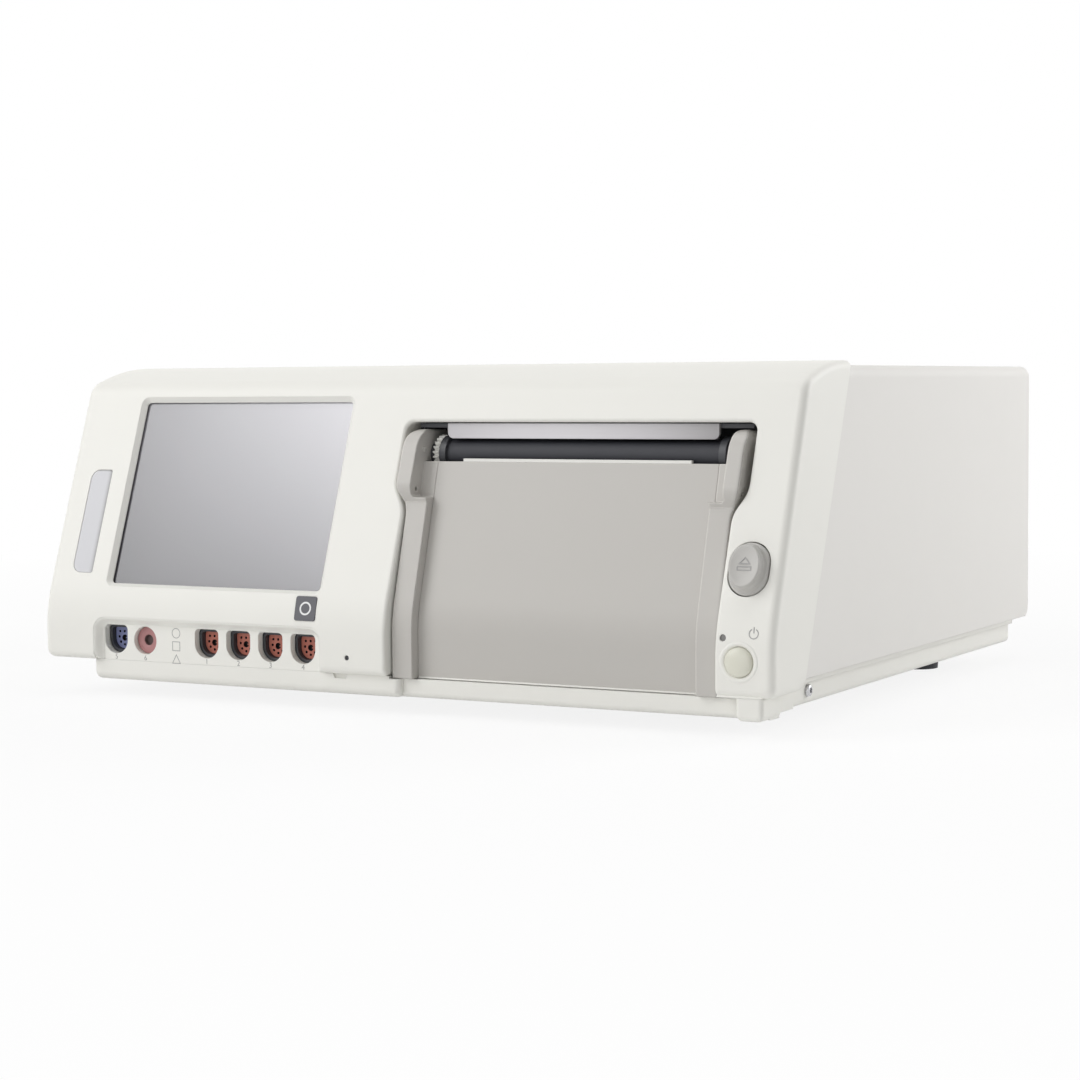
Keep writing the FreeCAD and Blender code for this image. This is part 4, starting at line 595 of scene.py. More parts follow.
class Skin(Enum):
    """Every finish on the monitor."""

    # The edge light setting of a moulding paints a highlight on its upper left edges.
    BEZEL = MouldedPlastic("bezel_moulding", paint(239, 238, 232), edge_mm=0.6, edge_light=0.7)
    COVER = MouldedPlastic("cover_moulding", paint(231, 229, 225), 0.60, 0.7, 0.016)
    DRAWER = MouldedPlastic("drawer_moulding", paint(194, 191, 186), 0.46, edge_mm=0.8, edge_light=1.2)
    ARMS = ArmPlastic(
        "arm_moulding", paint(195, 192, 187), 0.46, mottle=0.02, edge_mm=1.1, edge_light=3.6, centre_mm=92.7,
    )
    WHITE = MouldedPlastic("white_moulding", paint(240, 239, 234), 0.42)
    IVORY = MouldedPlastic("ivory_moulding", paint(224, 223, 209), 0.36)
    BUTTON = MouldedPlastic("button_moulding", paint(191, 189, 185), 0.44, edge_mm=0.5, edge_light=0.8)
    DARK = MouldedPlastic("dark_moulding", paint(62, 63, 67), 0.45, mottle=0.06)
    BADGE = MouldedPlastic("badge_moulding", paint(84, 84, 90), 0.40, mottle=0.03)
    SLATE = MouldedPlastic("slate_moulding", paint(126, 132, 172), 0.42)
    BRICK = MouldedPlastic("brick_moulding", paint(190, 114, 98), 0.42)
    # The cuff disc's second colour is the painted shade inside its bore.
    ROSE = BoredPlastic("rose_moulding", paint(176, 126, 126), paint(98, 80, 78), (-147.4, 30.05), 5.6)
    RUBBER = Brushed(
        "black_rubber", paint(46, 47, 53), 0.62, 0.0, Grain.GROUND, 0.35,
        swing=0.2, depth_mm=0.03, edge_mm=0.5, cloud_mm=12, cloud_share=0.6, tints=(0.86, 1.16),
    )
    # The display glass's second colour is the light end of its painted reflection.
    GLASS = ScreenGlass(
        "display_glass", paint(80, 79, 84), paint(209, 208, 213), (-104.7, 107.6), (67.0, 48.0),
    )
    BAR = TearEdge(
        "tear_bar_steel", paint(208, 206, 209), 0.42, 0.35,
        shaded=paint(140, 138, 138), centre_mm=72.0, reach_mm=105.0,
    )
    PLATE = PlateFoil(
        "name_plate_silver", paint(194, 194, 197), 0.5, 0.15, Grain.ALONG_Z,
        shaded=paint(126, 125, 124), right_mm=-183.7, top_mm=118.4,
    )
    STEEL = Brushed("bright_steel", paint(196, 196, 198), 0.28, 1.0, Grain.NONE, 0.6)
    SHEET = Brushed("zinc_sheet", paint(186, 188, 190), 0.44, 1.0, Grain.ALONG_X, 0.8)
    BOARD = CircuitBoard("green_board", paint(38, 92, 62), paint(92, 128, 70))
    LENS = Film("grey_lens", paint(124, 123, 121), 0.8, (0.9, 1.1), 0.24, 0.08, 0.6)
    INK = Film("grey_ink", paint(166, 165, 164))
    WHITE_INK = Film("white_ink", paint(238, 238, 238))
    # Painted shade for the insides of the contact holes.
    HOLLOW = Film("painted_hole_shade", paint(34, 32, 33))


# Mesh tools
def rectangle(left: float, right: float, low: float, high: float) -> list[Point]:
    """The corners of an upright rectangle, the left-hand way round."""
    return [(left, low), (right, low), (right, high), (left, high)]


def facing(place_mm: Triple, turn: float, lean: float, roll: float = 0.0) -> Matrix:
    """A frame in the monitor's space, in metres.

    Args:
        place_mm: Its origin, in millimetres.
        turn: Turn round the upright axis, in degrees.
        lean: How far its Z axis leans up from level, in degrees.
        roll: Turn round its Z axis, in degrees.

    Returns:
        The frame's matrix.
    """
    made = Matrix.Translation(Vector(place_mm) * MM)
    for angle, axis in ((turn, "Z"), (90 - lean, "X"), (roll, "Z")):
        made = made @ Matrix.Rotation(math.radians(angle), 4, axis)
    return made


def circle(radius: float, level: float, steps: int) -> list[Triple]:
    """The corners of a ring round the Z axis."""
    turns = [math.tau * step / steps for step in range(steps)]
    return [(radius * math.cos(turn), radius * math.sin(turn), level) for turn in turns]


def added(name: str, data: bpy.types.ID) -> bpy.types.Object:
    """A new object in the scene.

    Args:
        name: Name of the object.
        data: Its mesh, curve, lamp or camera.

    Returns:
        The object.
    """
    made = bpy.data.objects.new(name, data)
    bpy.context.scene.collection.objects.link(made)
    return made


def evaluated(holder: bpy.types.Object) -> bpy.types.Mesh:
    """A new mesh of an object as its modifiers or its curve make it."""
    graph = bpy.context.evaluated_depsgraph_get()
    return bpy.data.meshes.new_from_object(holder.evaluated_get(graph))


@dataclass(frozen=True)
class Spot:
    """A place on the monitor: a point in millimetres, and which way its surface faces."""

    x: float = 0.0
    y: float = 0.0
    z: float = 0.0
    lean: float = 0.0
    turn: float = 0.0

    def matrix(self) -> Matrix:
        """The frame whose Z points out of the surface, with millimetres as its unit."""
        return facing((self.x, self.y, self.z), self.turn, self.lean) @ Matrix.Scale(MM, 4)


@dataclass(frozen=True)
class Stroke:
    """A printed line: its width, the height of its foot above the surface and its thickness."""

    width: float
    low: float = -0.1
    height: float = 0.16


class Head(Enum):
    """Sizes of the screw heads: diameter, height, and width of the socket over its flats."""

    SHELL = (6.0, 2.0, 2.6)
    FLANGE = (5.2, 1.6, 2.2)
    PLATE = (3.4, 1.1, 1.5)


class Ends(Enum):
    """What becomes of the first and the last loop of a skin."""

    CAPPED = "capped"
    OPEN = "open"
    JOINED = "joined"


class Shaper:
    """A mesh while it is modelled, drawn in millimetres at one spot after another."""

    smooth_below: ClassVar[float] = math.radians(32)
    weld: ClassVar[float] = 1e-5
    least_steps: ClassVar[int] = 8
    step_degrees: ClassVar[float] = 9
    head_steps: ClassVar[int] = 36
    head_foot: ClassVar[Point] = (0.96, 0.1)
    head_crown: ClassVar[float] = 0.72
    head_shoulder: ClassVar[float] = 0.25
    socket_floor: ClassVar[float] = 0.4

    def __init__(self) -> None:
        """Start an empty mesh."""
        self.mesh = bmesh.new()
        self.kept: set[bmesh.types.BMVert] = set()

    def fresh(self) -> list[bmesh.types.BMVert]:
        """The vertices that have not been put in place yet."""
        return [vertex for vertex in self.mesh.verts if vertex not in self.kept]

    def settle(self, spot: Spot) -> None:
        """Put what was drawn last in place.

        Args:
            spot: Where it goes.
        """
        fresh = self.fresh()
        bmesh.ops.transform(self.mesh, matrix=spot.matrix(), verts=fresh)
        faces = {face for vertex in fresh for face in vertex.link_faces}
        bmesh.ops.recalc_face_normals(self.mesh, faces=list(faces))
        self.kept.update(fresh)

    def skin(self, loops: Sequence[Loop], ends: Ends = Ends.CAPPED) -> None:
        """Faces through a row of loops.

        Args:
            loops: Loops with equal numbers of corners.
            ends: What becomes of the first and the last loop.
        """
        rows = [[self.mesh.verts.new(point) for point in loop] for loop in loops]
        count = len(rows[0])
        following = rows[1:] + (rows[:1] if ends is Ends.JOINED else [])
        for lower, upper in zip(rows, following):
            for index in range(count):
                after = (index + 1) % count
                self.mesh.faces.new([lower[index], lower[after], upper[after], upper[index]])
        if ends is Ends.CAPPED:
            self.mesh.faces.new(rows[0][::-1])
            self.mesh.faces.new(rows[-1])

    def prism(self, points: Sequence[Point], low: float, high: float) -> None:
        """A straight solid on a polygon, between two levels."""
        self.skin([[(*point, level) for point in points] for level in (low, high)])

    def band(self, outer: Loop, inner: Loop, stroke: Stroke, ends: Ends = Ends.JOINED) -> None:
        """A raised line between two rows of points."""
        low, high = stroke.low, stroke.low + stroke.height
        self.skin([[(*a, low), (*b, low), (*b, high), (*a, high)] for a, b in zip(outer, inner)], ends)

    def outline(self, points: Sequence[Point], stroke: Stroke) -> None:
        """A raised line round a polygon.

        Args:
            points: Outer corners, the left-hand way round.
            stroke: The line.
        """
        corners = [Vector(point) for point in points]
        inner = []
        for before, corner, after in zip(corners[-1:] + corners, corners, corners[1:] + corners):
            arriving, leaving = (corner - before).normalized(), (after - corner).normalized()
            first, second = Vector((-arriving.y, arriving.x)), Vector((-leaving.y, leaving.x))
            inner.append(corner + (first + second) * (stroke.width / (1 + first.dot(second))))
        self.band(corners, inner, stroke)

    def arc(self, radius: float, start: float, sweep: float, stroke: Stroke) -> None:
        """A raised line along an arc.

        Args:
            radius: Radius at the middle of the line.
            start: First angle, in degrees.
            sweep: Turn, in degrees.
            stroke: The line.
        """
        steps = max(self.least_steps, int(sweep / self.step_degrees))
        whole = sweep >= 360
        turns = [math.radians(start + sweep * step / steps) for step in range(steps if whole else steps + 1)]
        reaches = (radius + stroke.width / 2, radius - stroke.width / 2)
        rows = [[(reach * math.cos(turn), reach * math.sin(turn)) for turn in turns] for reach in reaches]
        self.band(*rows, stroke, Ends.JOINED if whole else Ends.CAPPED)

    def lathe(self, profile: Sequence[Point], steps: int) -> None:
        """A profile of radii and heights, turned round the spot's own axis in a number of steps."""
        self.skin([circle(radius, level, steps) for radius, level in profile], Ends.OPEN)
        bmesh.ops.remove_doubles(self.mesh, verts=self.fresh(), dist=self.weld)

    def screw(self, spot: Spot, head: Head) -> None:
        """A button-head screw with a hex socket.

        Args:
            spot: Where its head sits.
            head: Its size.
        """
        diameter, tall, across = head.value
        half, top = diameter / 2, across * self.head_crown
        foot, rim = self.head_foot
        rise = 1 - self.head_shoulder
        profile = [(half * foot, 0.0), (half, tall * rim)]
        for turn in (math.pi * step / 10 for step in range(6)):
            level = tall * (self.head_shoulder + rise * math.sin(turn))
            profile.append((top + (half - top) * math.cos(turn), level))
        rings = [circle(radius, level, self.head_steps) for radius, level in profile]
        flats = []
        for x, y, _ in circle(1.0, 0.0, self.head_steps):
            reach = across / 2 / math.cos(math.atan2(y, x) % (math.pi / 3) - math.pi / 6)
            flats.append((x * reach, y * reach))
        rings += [[(*corner, level) for corner in flats] for level in (tall, tall * self.socket_floor)]
        self.skin(rings)
        self.settle(spot)

    def text(self, words: str, size: float, stroke: Stroke) -> None:
        """Plain numerals, centred on the spot.

        Args:
            words: What is drawn.
            size: Height of the font.
            stroke: The print's foot and thickness.
        """
        curve = bpy.data.curves.new("numerals", "FONT")
        curve.body = words
        curve.size = size
        curve.align_x = curve.align_y = "CENTER"
        curve.resolution_u = 4
        holder = added("numerals", curve)
        flat = evaluated(holder)
        self.mesh.from_mesh(flat)
        faces = [face for face in self.mesh.faces if face.verts[0] not in self.kept]
        made = bmesh.ops.extrude_face_region(self.mesh, geom=faces)["geom"]
        top = [item for item in made if isinstance(item, bmesh.types.BMVert)]
        bmesh.ops.translate(self.mesh, verts=top, vec=(0, 0, stroke.height))
        bmesh.ops.translate(self.mesh, verts=self.fresh(), vec=(0, 0, stroke.low))
        bpy.data.objects.remove(holder)
        bpy.data.curves.remove(curve)
        bpy.data.meshes.remove(flat)

    def stand(self, name: str) -> bpy.types.Object:
        """Close the mesh and put it into the scene.

        Args:
            name: Name of the object.

        Returns:
            The object.
        """
        data = bpy.data.meshes.new(name)
        self.mesh.to_mesh(data)
        self.mesh.free()
        return added(name, data)

    def cut(self, tools: "Shaper") -> bpy.types.Mesh:
        """Cut this mesh with another; both are used up.

        Args:
            tools: What it is cut with.

        Returns:
            The cut mesh.
        """
        holders = [self.stand("blank"), tools.stand("tools")]
        knife = holders[0].modifiers.new("holes", "BOOLEAN")
        knife.operation = "DIFFERENCE"
        knife.object = holders[1]
        knife.solver = "EXACT"
        made = evaluated(holders[0])
        for holder in holders:
            data = holder.data
            bpy.data.objects.remove(holder)
            bpy.data.meshes.remove(data)
        return made

    def piece(
        self, name: str, skin: Skin, body: str, slot: str, smooth: bool = True, second: Optional[Skin] = None,
    ) -> bpy.types.Object:
        """Close the mesh and make it a piece of the monitor.

        Args:
            name: Name of the piece.
            skin: Its finish.
            body: The body that carries it.
            slot: A material slot's name; not used.
            smooth: Whether its round faces are shaded smooth.
            second: The finish of the faces with material index one.

        Returns:
            The new object.
        """
        made = self.stand(name)
        data = made.data
        for finish in (skin, second):
            if finish is not None:
                data.materials.append(finish.value.material())
        if smooth:
            data.set_sharp_from_angle(angle=self.smooth_below)
            for polygon in data.polygons:
                polygon.use_smooth = True
        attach(made, body)
        LOG.info("%s: %d faces on %s", name, len(data.polygons), body)
        return made


# Sub-assemblies
@dataclass(frozen=True)
class Front:
    """The curve of the bezel's front: upright nose, rounded heel below and rounded knee above."""

    nose: float = -196.0
    bottom: float = 19.0
    heel: float = 5.0
    knee_start: float = 34.8
    knee_radius: float = 68.0

    def back(self, z: float) -> float:
        """How far the front lies behind its nose.

        Args:
            z: Height, in millimetres.

        Returns:
            The distance, in millimetres.
        """
        rise = max(0.0, z - self.knee_start)
        sink = max(0.0, self.bottom + self.heel - z)
        knee = self.knee_radius - math.sqrt(self.knee_radius ** 2 - rise ** 2)
        return knee + self.heel - math.sqrt(self.heel ** 2 - min(sink, self.heel) ** 2)

    def on_knee(self, x: float, z: float, proud: float = 0.0) -> Spot:
        """A spot on the knee.

        Args:
            x: Place across the front.
            z: Height.
            proud: How far it stands off the surface.

        Returns:
            The spot.
        """
        lean = math.asin((z - self.knee_start) / self.knee_radius)
        y = self.nose + self.back(z) - proud * math.cos(lean)
        return Spot(x, y, z + proud * math.sin(lean), math.degrees(lean))


FRONT = Front()


class Assembly(ABC):
    """A group of CAD nodes, with their finishes and the pieces that are added to them."""

    finishes: ClassVar[Mapping[Skin, Sequence[str]]]

    def dress(self) -> None:
        """Give the CAD nodes their finishes."""
        for skin, names in self.finishes.items():
            for name in names:
                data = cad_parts[name].data
                data.materials.clear()
                data.materials.append(skin.value.material())
                LOG.info("%s: %s", name, skin.value.name)

    def build(self) -> None:
        """Model the added pieces, if there are any."""


@dataclass
class Housing(Assembly):
    """Bezel, cover, base and feet, with the signs that are printed on them."""

    finishes = {
        Skin.BEZEL: ["front_bezel", "socket_panel", "base_tray"],
        Skin.COVER: ["top_cover", "rear_panel"],
        Skin.RUBBER: ["foot_front_left", "foot_front_right", "foot_rear_left", "foot_rear_right"],
    }
    sign_place: Point = (201.1, 48.8)
    sign_radius: float = 2.25
    sign_turn: Point = (118, 304)
    sign_bar: Point = (0.3, 3.1)
    stroke: Stroke = Stroke(0.45, height=0.2)
    bar_tall: float = 0.22
    screw_place: Triple = (205.0, -141.0, 17.2)
    fillet_foot: float = 18.93
    fillet_draw: float = 0.8
    fillet_section: Points = (
        (-194.95, 18.93), (-194.85, 19.5), (-194.45, 20.25), (-193.2, 20.0), (-191.2, 19.1), (-191.2, 18.93),
    )
    fillet_insets: Points = (
        (182.4, 0.5), (182.8, 0.0), (192.0, 0.0), (202.0, 0.0), (204.6, 0.0), (205.3, 0.5),
    )

    def build(self) -> None:
        """Model the fillet between the pillar and the bezel's heel, the power sign and the side screws."""
        loops = []
        for x, inset in self.fillet_insets:
            draw = inset * self.fillet_draw
            loops.append([(x, z - (z - self.fillet_foot) * inset, -y - draw) for y, z in self.fillet_section])
        fillet = Shaper()
        fillet.skin(loops)
        fillet.settle(Spot())
        fillet.piece("pillar_fillet", Skin.BEZEL, "housing", "bezel_plastic")
        sign = Shaper()
        seat = FRONT.on_knee(*self.sign_place)
        sign.arc(self.sign_radius, *self.sign_turn, self.stroke)
        sign.settle(seat)
        half = self.stroke.width / 2
        low = self.stroke.low
        sign.prism(rectangle(-half, half, *self.sign_bar), low, low + self.bar_tall)
        sign.settle(seat)
        sign.piece("power_sign", Skin.INK, "housing", "bezel_plastic", False)
        screws = Shaper()
        x, y, z = self.screw_place
        for side in (-1, 1):
            screws.screw(Spot(side * x, y, z, 0.0, side * 90), Head.SHELL)
        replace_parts(screws.piece("side_screw_heads", Skin.STEEL, "housing", "steel"), "side_screws")


@dataclass
class DisplayUnit(Assembly):
    """The touch display, its mountings, the name plate and the badge."""

    finishes = {
        Skin.GLASS: ["touch_glass"],
        Skin.RUBBER: ["display_gasket"],
        Skin.DARK: ["lcd_module"],
        Skin.BADGE: ["square_badge"],
        Skin.PLATE: ["name_plate"],
        Skin.SHEET: ["display_bracket"],
    }
    badge_place: Point = (-44.0, 51.0)
    badge_proud: float = 0.2
    mark_radius: float = 3.0
    stroke: Stroke = Stroke(0.9, 0.0, 0.12)

    def build(self) -> None:
        """Model the plain ring on the badge."""
        mark = Shaper()
        mark.arc(self.mark_radius, 0, 360, self.stroke)
        mark.settle(FRONT.on_knee(*self.badge_place, self.badge_proud))
        mark.piece("badge_ring", Skin.WHITE_INK, "housing", "dark_plastic", False)


@dataclass
class SocketRow(Assembly):
    """The sensor sockets, the cuff socket and the print beside them."""

    sensors: ClassVar[list[str]] = [f"sensor_{number}" for number in range(1, 5)]
    finishes = {
        Skin.DARK: ["pulse_shroud", *(f"{name}_shroud" for name in sensors)],
        Skin.SLATE: ["pulse_insert"],
        Skin.BRICK: [f"{name}_insert" for name in sensors],
        Skin.ROSE: ["cuff_socket"],
        Skin.BOARD: ["sensor_board"],
    }
    face_y: float = -191.4
    insert_y: float = -184.4
    middle_z: float = 30.05
    pulse_x: float = -166.5
    first_x: float = -107.75
    pitch: float = 20.0
    insert_half: Point = (5.65, 5.7)
    insert_bend: float = 1.4
    thick: float = 2.95
    straight: float = 0.05
    round_steps: int = 10
    bend_steps: int = 4
    collar_y: float = -187.3
    collar_back: float = 14.6
    collar_half: Point = (7.35, 7.4)
    collar_wall: float = 1.45
    collar_bends: Point = (2.8, 1.5)
    overcut: float = 1.0
    cuff_x: float = -147.4
    cuff_steps: int = 48
    cuff_profile: Points = (
        (0.0, -5.4), (2.2, -5.4), (2.5, -4.9), (2.6, -3.4), (3.0, -2.9), (3.6, -2.7), (6.4, -2.5),
        (6.95, -2.7), (7.2, -3.2), (7.2, -18.6), (0.0, -18.6),
    )
    recess: Triple = (-178.1, -34.5, 41.8)
    recess_foot: float = 19.15
    recess_round: float = 7.0
    rise_steps: int = 10
    turn_steps: int = 12
    border: Points = (
        (0.0, 4.5), (0.3, 4.4), (0.8, 4.0), (1.5, 3.0), (2.3, 1.7), (2.9, 0.8), (3.4, 0.25), (3.8, 0.04),
        (3.8, -0.2), (0.0, -0.2),
    )
    border_sunk: float = 0.1
    hole_depth: float = 2.3
    contact: float = 1.35
    contact_sides: int = 14
    key_sides: int = 28
    hole_margin: float = 0.02
    face_margins: Point = (0.1, 0.05)
    contacts: Points = (
        (-3.0, 3.4), (0.0, 3.4), (3.0, 3.4), (-3.45, 0.5), (3.45, 0.5), (-2.6, -2.25), (2.6, -2.25),
        (0.0, -3.6),
    )
    key_hole: float = 3.3
    key_size: Triple = (1.0, 0.7, 1.5)
    key_sunk: Point = (0.35, 0.8)
    symbol_x: float = -127.3
    symbol_heights: Triple = (34.7, 27.9, 20.9)
    symbol_half: float = 2.5
    triangle: Points = ((-2.8, -2.1), (2.8, -2.1), (0.0, 2.9))
    number_z: float = 20.75
    number_size: float = 3.9
    stroke: Stroke = Stroke(0.35)

    def shield(self, half: Point, bend: float, low: float, high: float) -> Shaper:
        """A block with the sockets' outline: square above and round below.

        Args:
            half: Half width and half height.
            bend: Radius of the upper corners.
            low: Level of its back.
            high: Level of its front.

        Returns:
            The block, in millimetres.
        """
        wide, tall = half
        rounds = [(wide - self.straight, self.round_steps)] * 2 + [(bend, self.bend_steps)] * 2
        points = []
        for index, (x, y) in enumerate(rectangle(-wide, wide, -tall, tall)):
            radius, steps = rounds[index]
            centre = (x - math.copysign(radius, x), y - math.copysign(radius, y))
            for step in range(steps + 1):
                turn = math.pi * (1 + (index + step / steps) / 2)
                points.append((centre[0] + radius * math.cos(turn), centre[1] + radius * math.sin(turn)))
        blank = Shaper()
        blank.prism(points, low, high)
        bmesh.ops.recalc_face_normals(blank.mesh, faces=blank.mesh.faces)
        return blank

    def collar_shape(self) -> bpy.types.Mesh:
        """Model a shroud whose rim lies flush with the back of the panel.

        Returns:
            The shroud at the origin, in millimetres.
        """
        wall = self.collar_wall
        outer_bend, inner_bend = self.collar_bends
        bore = tuple(half - wall for half in self.collar_half)
        outer = self.shield(self.collar_half, outer_bend, -self.collar_back, 0.0)
        return outer.cut(self.shield(bore, inner_bend, -self.collar_back + wall, self.overcut))

    def insert_shape(self) -> bpy.types.Mesh:
        """Model a contact insert with its holes.

        Returns:
            The insert at the origin, in millimetres.
        """
        blank = self.shield(self.insert_half, self.insert_bend, -self.thick, 0.0)
        tools = Shaper()
        middle = (self.overcut - self.hole_depth) / 2
        holes = [((0.0, 0.0), self.key_hole / 2, self.key_sides)]
        holes += [(place, self.contact / 2, self.contact_sides) for place in self.contacts]
        for place, radius, sides in holes:
            bmesh.ops.create_cone(
                tools.mesh, cap_ends=True, segments=sides, radius1=radius, radius2=radius,
                depth=self.hole_depth + self.overcut, matrix=Matrix.Translation((*place, middle)),
            )
        made = blank.cut(tools)
        # Faces inside the contact holes take the painted hole shade.
        behind, before = self.face_margins
        for face in made.polygons:
            spot = face.center
            inside = any(math.dist(spot.xy, place) < radius + self.hole_margin for place, radius, _ in holes)
            face.material_index = int(inside and behind - self.thick < spot.z < -before)
        return made

    def border_path(self) -> list[tuple[Vector, Vector]]:
        """Follow the edge of the recess.

        Returns:
            Points along the edge, each with the way into the recess.
        """
        left, right, top = self.recess
        bend = self.recess_round
        rise = top - bend - self.recess_foot
        heights = [self.recess_foot + rise * step / self.rise_steps for step in range(self.rise_steps + 1)]
        half = [(Vector((left, height)), Vector((1, 0))) for height in heights]
        for step in range(1, self.turn_steps + 1):
            turn = math.pi * (1 - step / self.turn_steps / 2)
            aim = Vector((math.cos(turn), math.sin(turn)))
            half.append((Vector((left + bend, top - bend)) + aim * bend, -aim))
        mirrored = [(Vector((left + right - spot.x, spot.y)), Vector((-aim.x, aim.y))) for spot, aim in half]
        return half + mirrored[::-1]

    def build_border(self) -> None:
        """Model the sloped border of the recess."""
        deep = self.face_y - FRONT.nose
        loops = []
        for spot, aim in self.border_path():
            most = deep - FRONT.back(spot.y) - self.border_sunk
            loops.append([(*(spot + aim * inward), min(level, most)) for inward, level in self.border])
        slope = Shaper()
        slope.skin(loops)
        slope.settle(Spot(0.0, self.face_y))
        slope.piece("recess_border", Skin.BEZEL, "housing", "bezel_plastic")

    def build_sockets(self, places: Mapping[str, float]) -> None:
        """Model the contact inserts and their shrouds.

        Args:
            places: The sockets' names, and where they are across the panel.
        """
        master = self.insert_shape()
        collar = self.collar_shape()
        sunk, deep = self.key_sunk
        key = Matrix.Translation((self.key_hole / 2 - sunk, 0.0, -deep))
        key = key @ Matrix.Diagonal((*self.key_size, 1.0))
        for name, x in places.items():
            skin, slot = Skin.BRICK, "brick_plastic"
            if name not in self.sensors:
                skin, slot = Skin.SLATE, "slate_plastic"
            insert = Shaper()
            insert.mesh.from_mesh(master)
            bmesh.ops.create_cube(insert.mesh, size=1.0, matrix=key)
            insert.settle(Spot(x, self.insert_y, self.middle_z))
            made = insert.piece(f"{name}_contacts", skin, "housing", slot, second=Skin.HOLLOW)
            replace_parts(made, f"{name}_insert")
            sleeve = Shaper()
            sleeve.mesh.from_mesh(collar)
            sleeve.settle(Spot(x, self.collar_y, self.middle_z))
            made = sleeve.piece(f"{name}_collar", Skin.DARK, "housing", "dark_plastic")
            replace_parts(made, f"{name}_shroud")
        bpy.data.meshes.remove(master)
        bpy.data.meshes.remove(collar)

    def build_print(self, labels: Sequence[float]) -> None:
        """Model the plain symbols and the sockets' numbers.

        Args:
            labels: Where the numbers from one up are across the panel.
        """
        symbols = Shaper()
        size = self.symbol_half
        circle_z, square_z, triangle_z = self.symbol_heights
        symbols.arc(size, 0, 360, self.stroke)
        symbols.settle(Spot(self.symbol_x, self.face_y, circle_z))
        for shape, z in ((rectangle(-size, size, -size, size), square_z), (self.triangle, triangle_z)):
            symbols.outline(shape, self.stroke)
            symbols.settle(Spot(self.symbol_x, self.face_y, z))
        symbols.piece("port_symbols", Skin.INK, "housing", "bezel_plastic", False)
        numbers = Shaper()
        for number, x in enumerate(labels, 1):
            numbers.text(str(number), self.number_size, self.stroke)
            numbers.settle(Spot(x, self.face_y, self.number_z))
        numbers.piece("port_numbers", Skin.INK, "housing", "bezel_plastic", False)

    def build(self) -> None:
        """Model the recess, the sockets and the print."""
        self.build_border()
        cuff = Shaper()
        cuff.lathe(self.cuff_profile, self.cuff_steps)
        cuff.settle(Spot(self.cuff_x, self.face_y, self.middle_z))
        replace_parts(cuff.piece("cuff_disc", Skin.ROSE, "housing", "rose_plastic"), "cuff_socket")
        row = [self.first_x + self.pitch * index for index in range(len(self.sensors))]
        self.build_sockets({"pulse": self.pulse_x, **dict(zip(self.sensors, row))})
        self.build_print([*row, self.pulse_x, self.cuff_x])


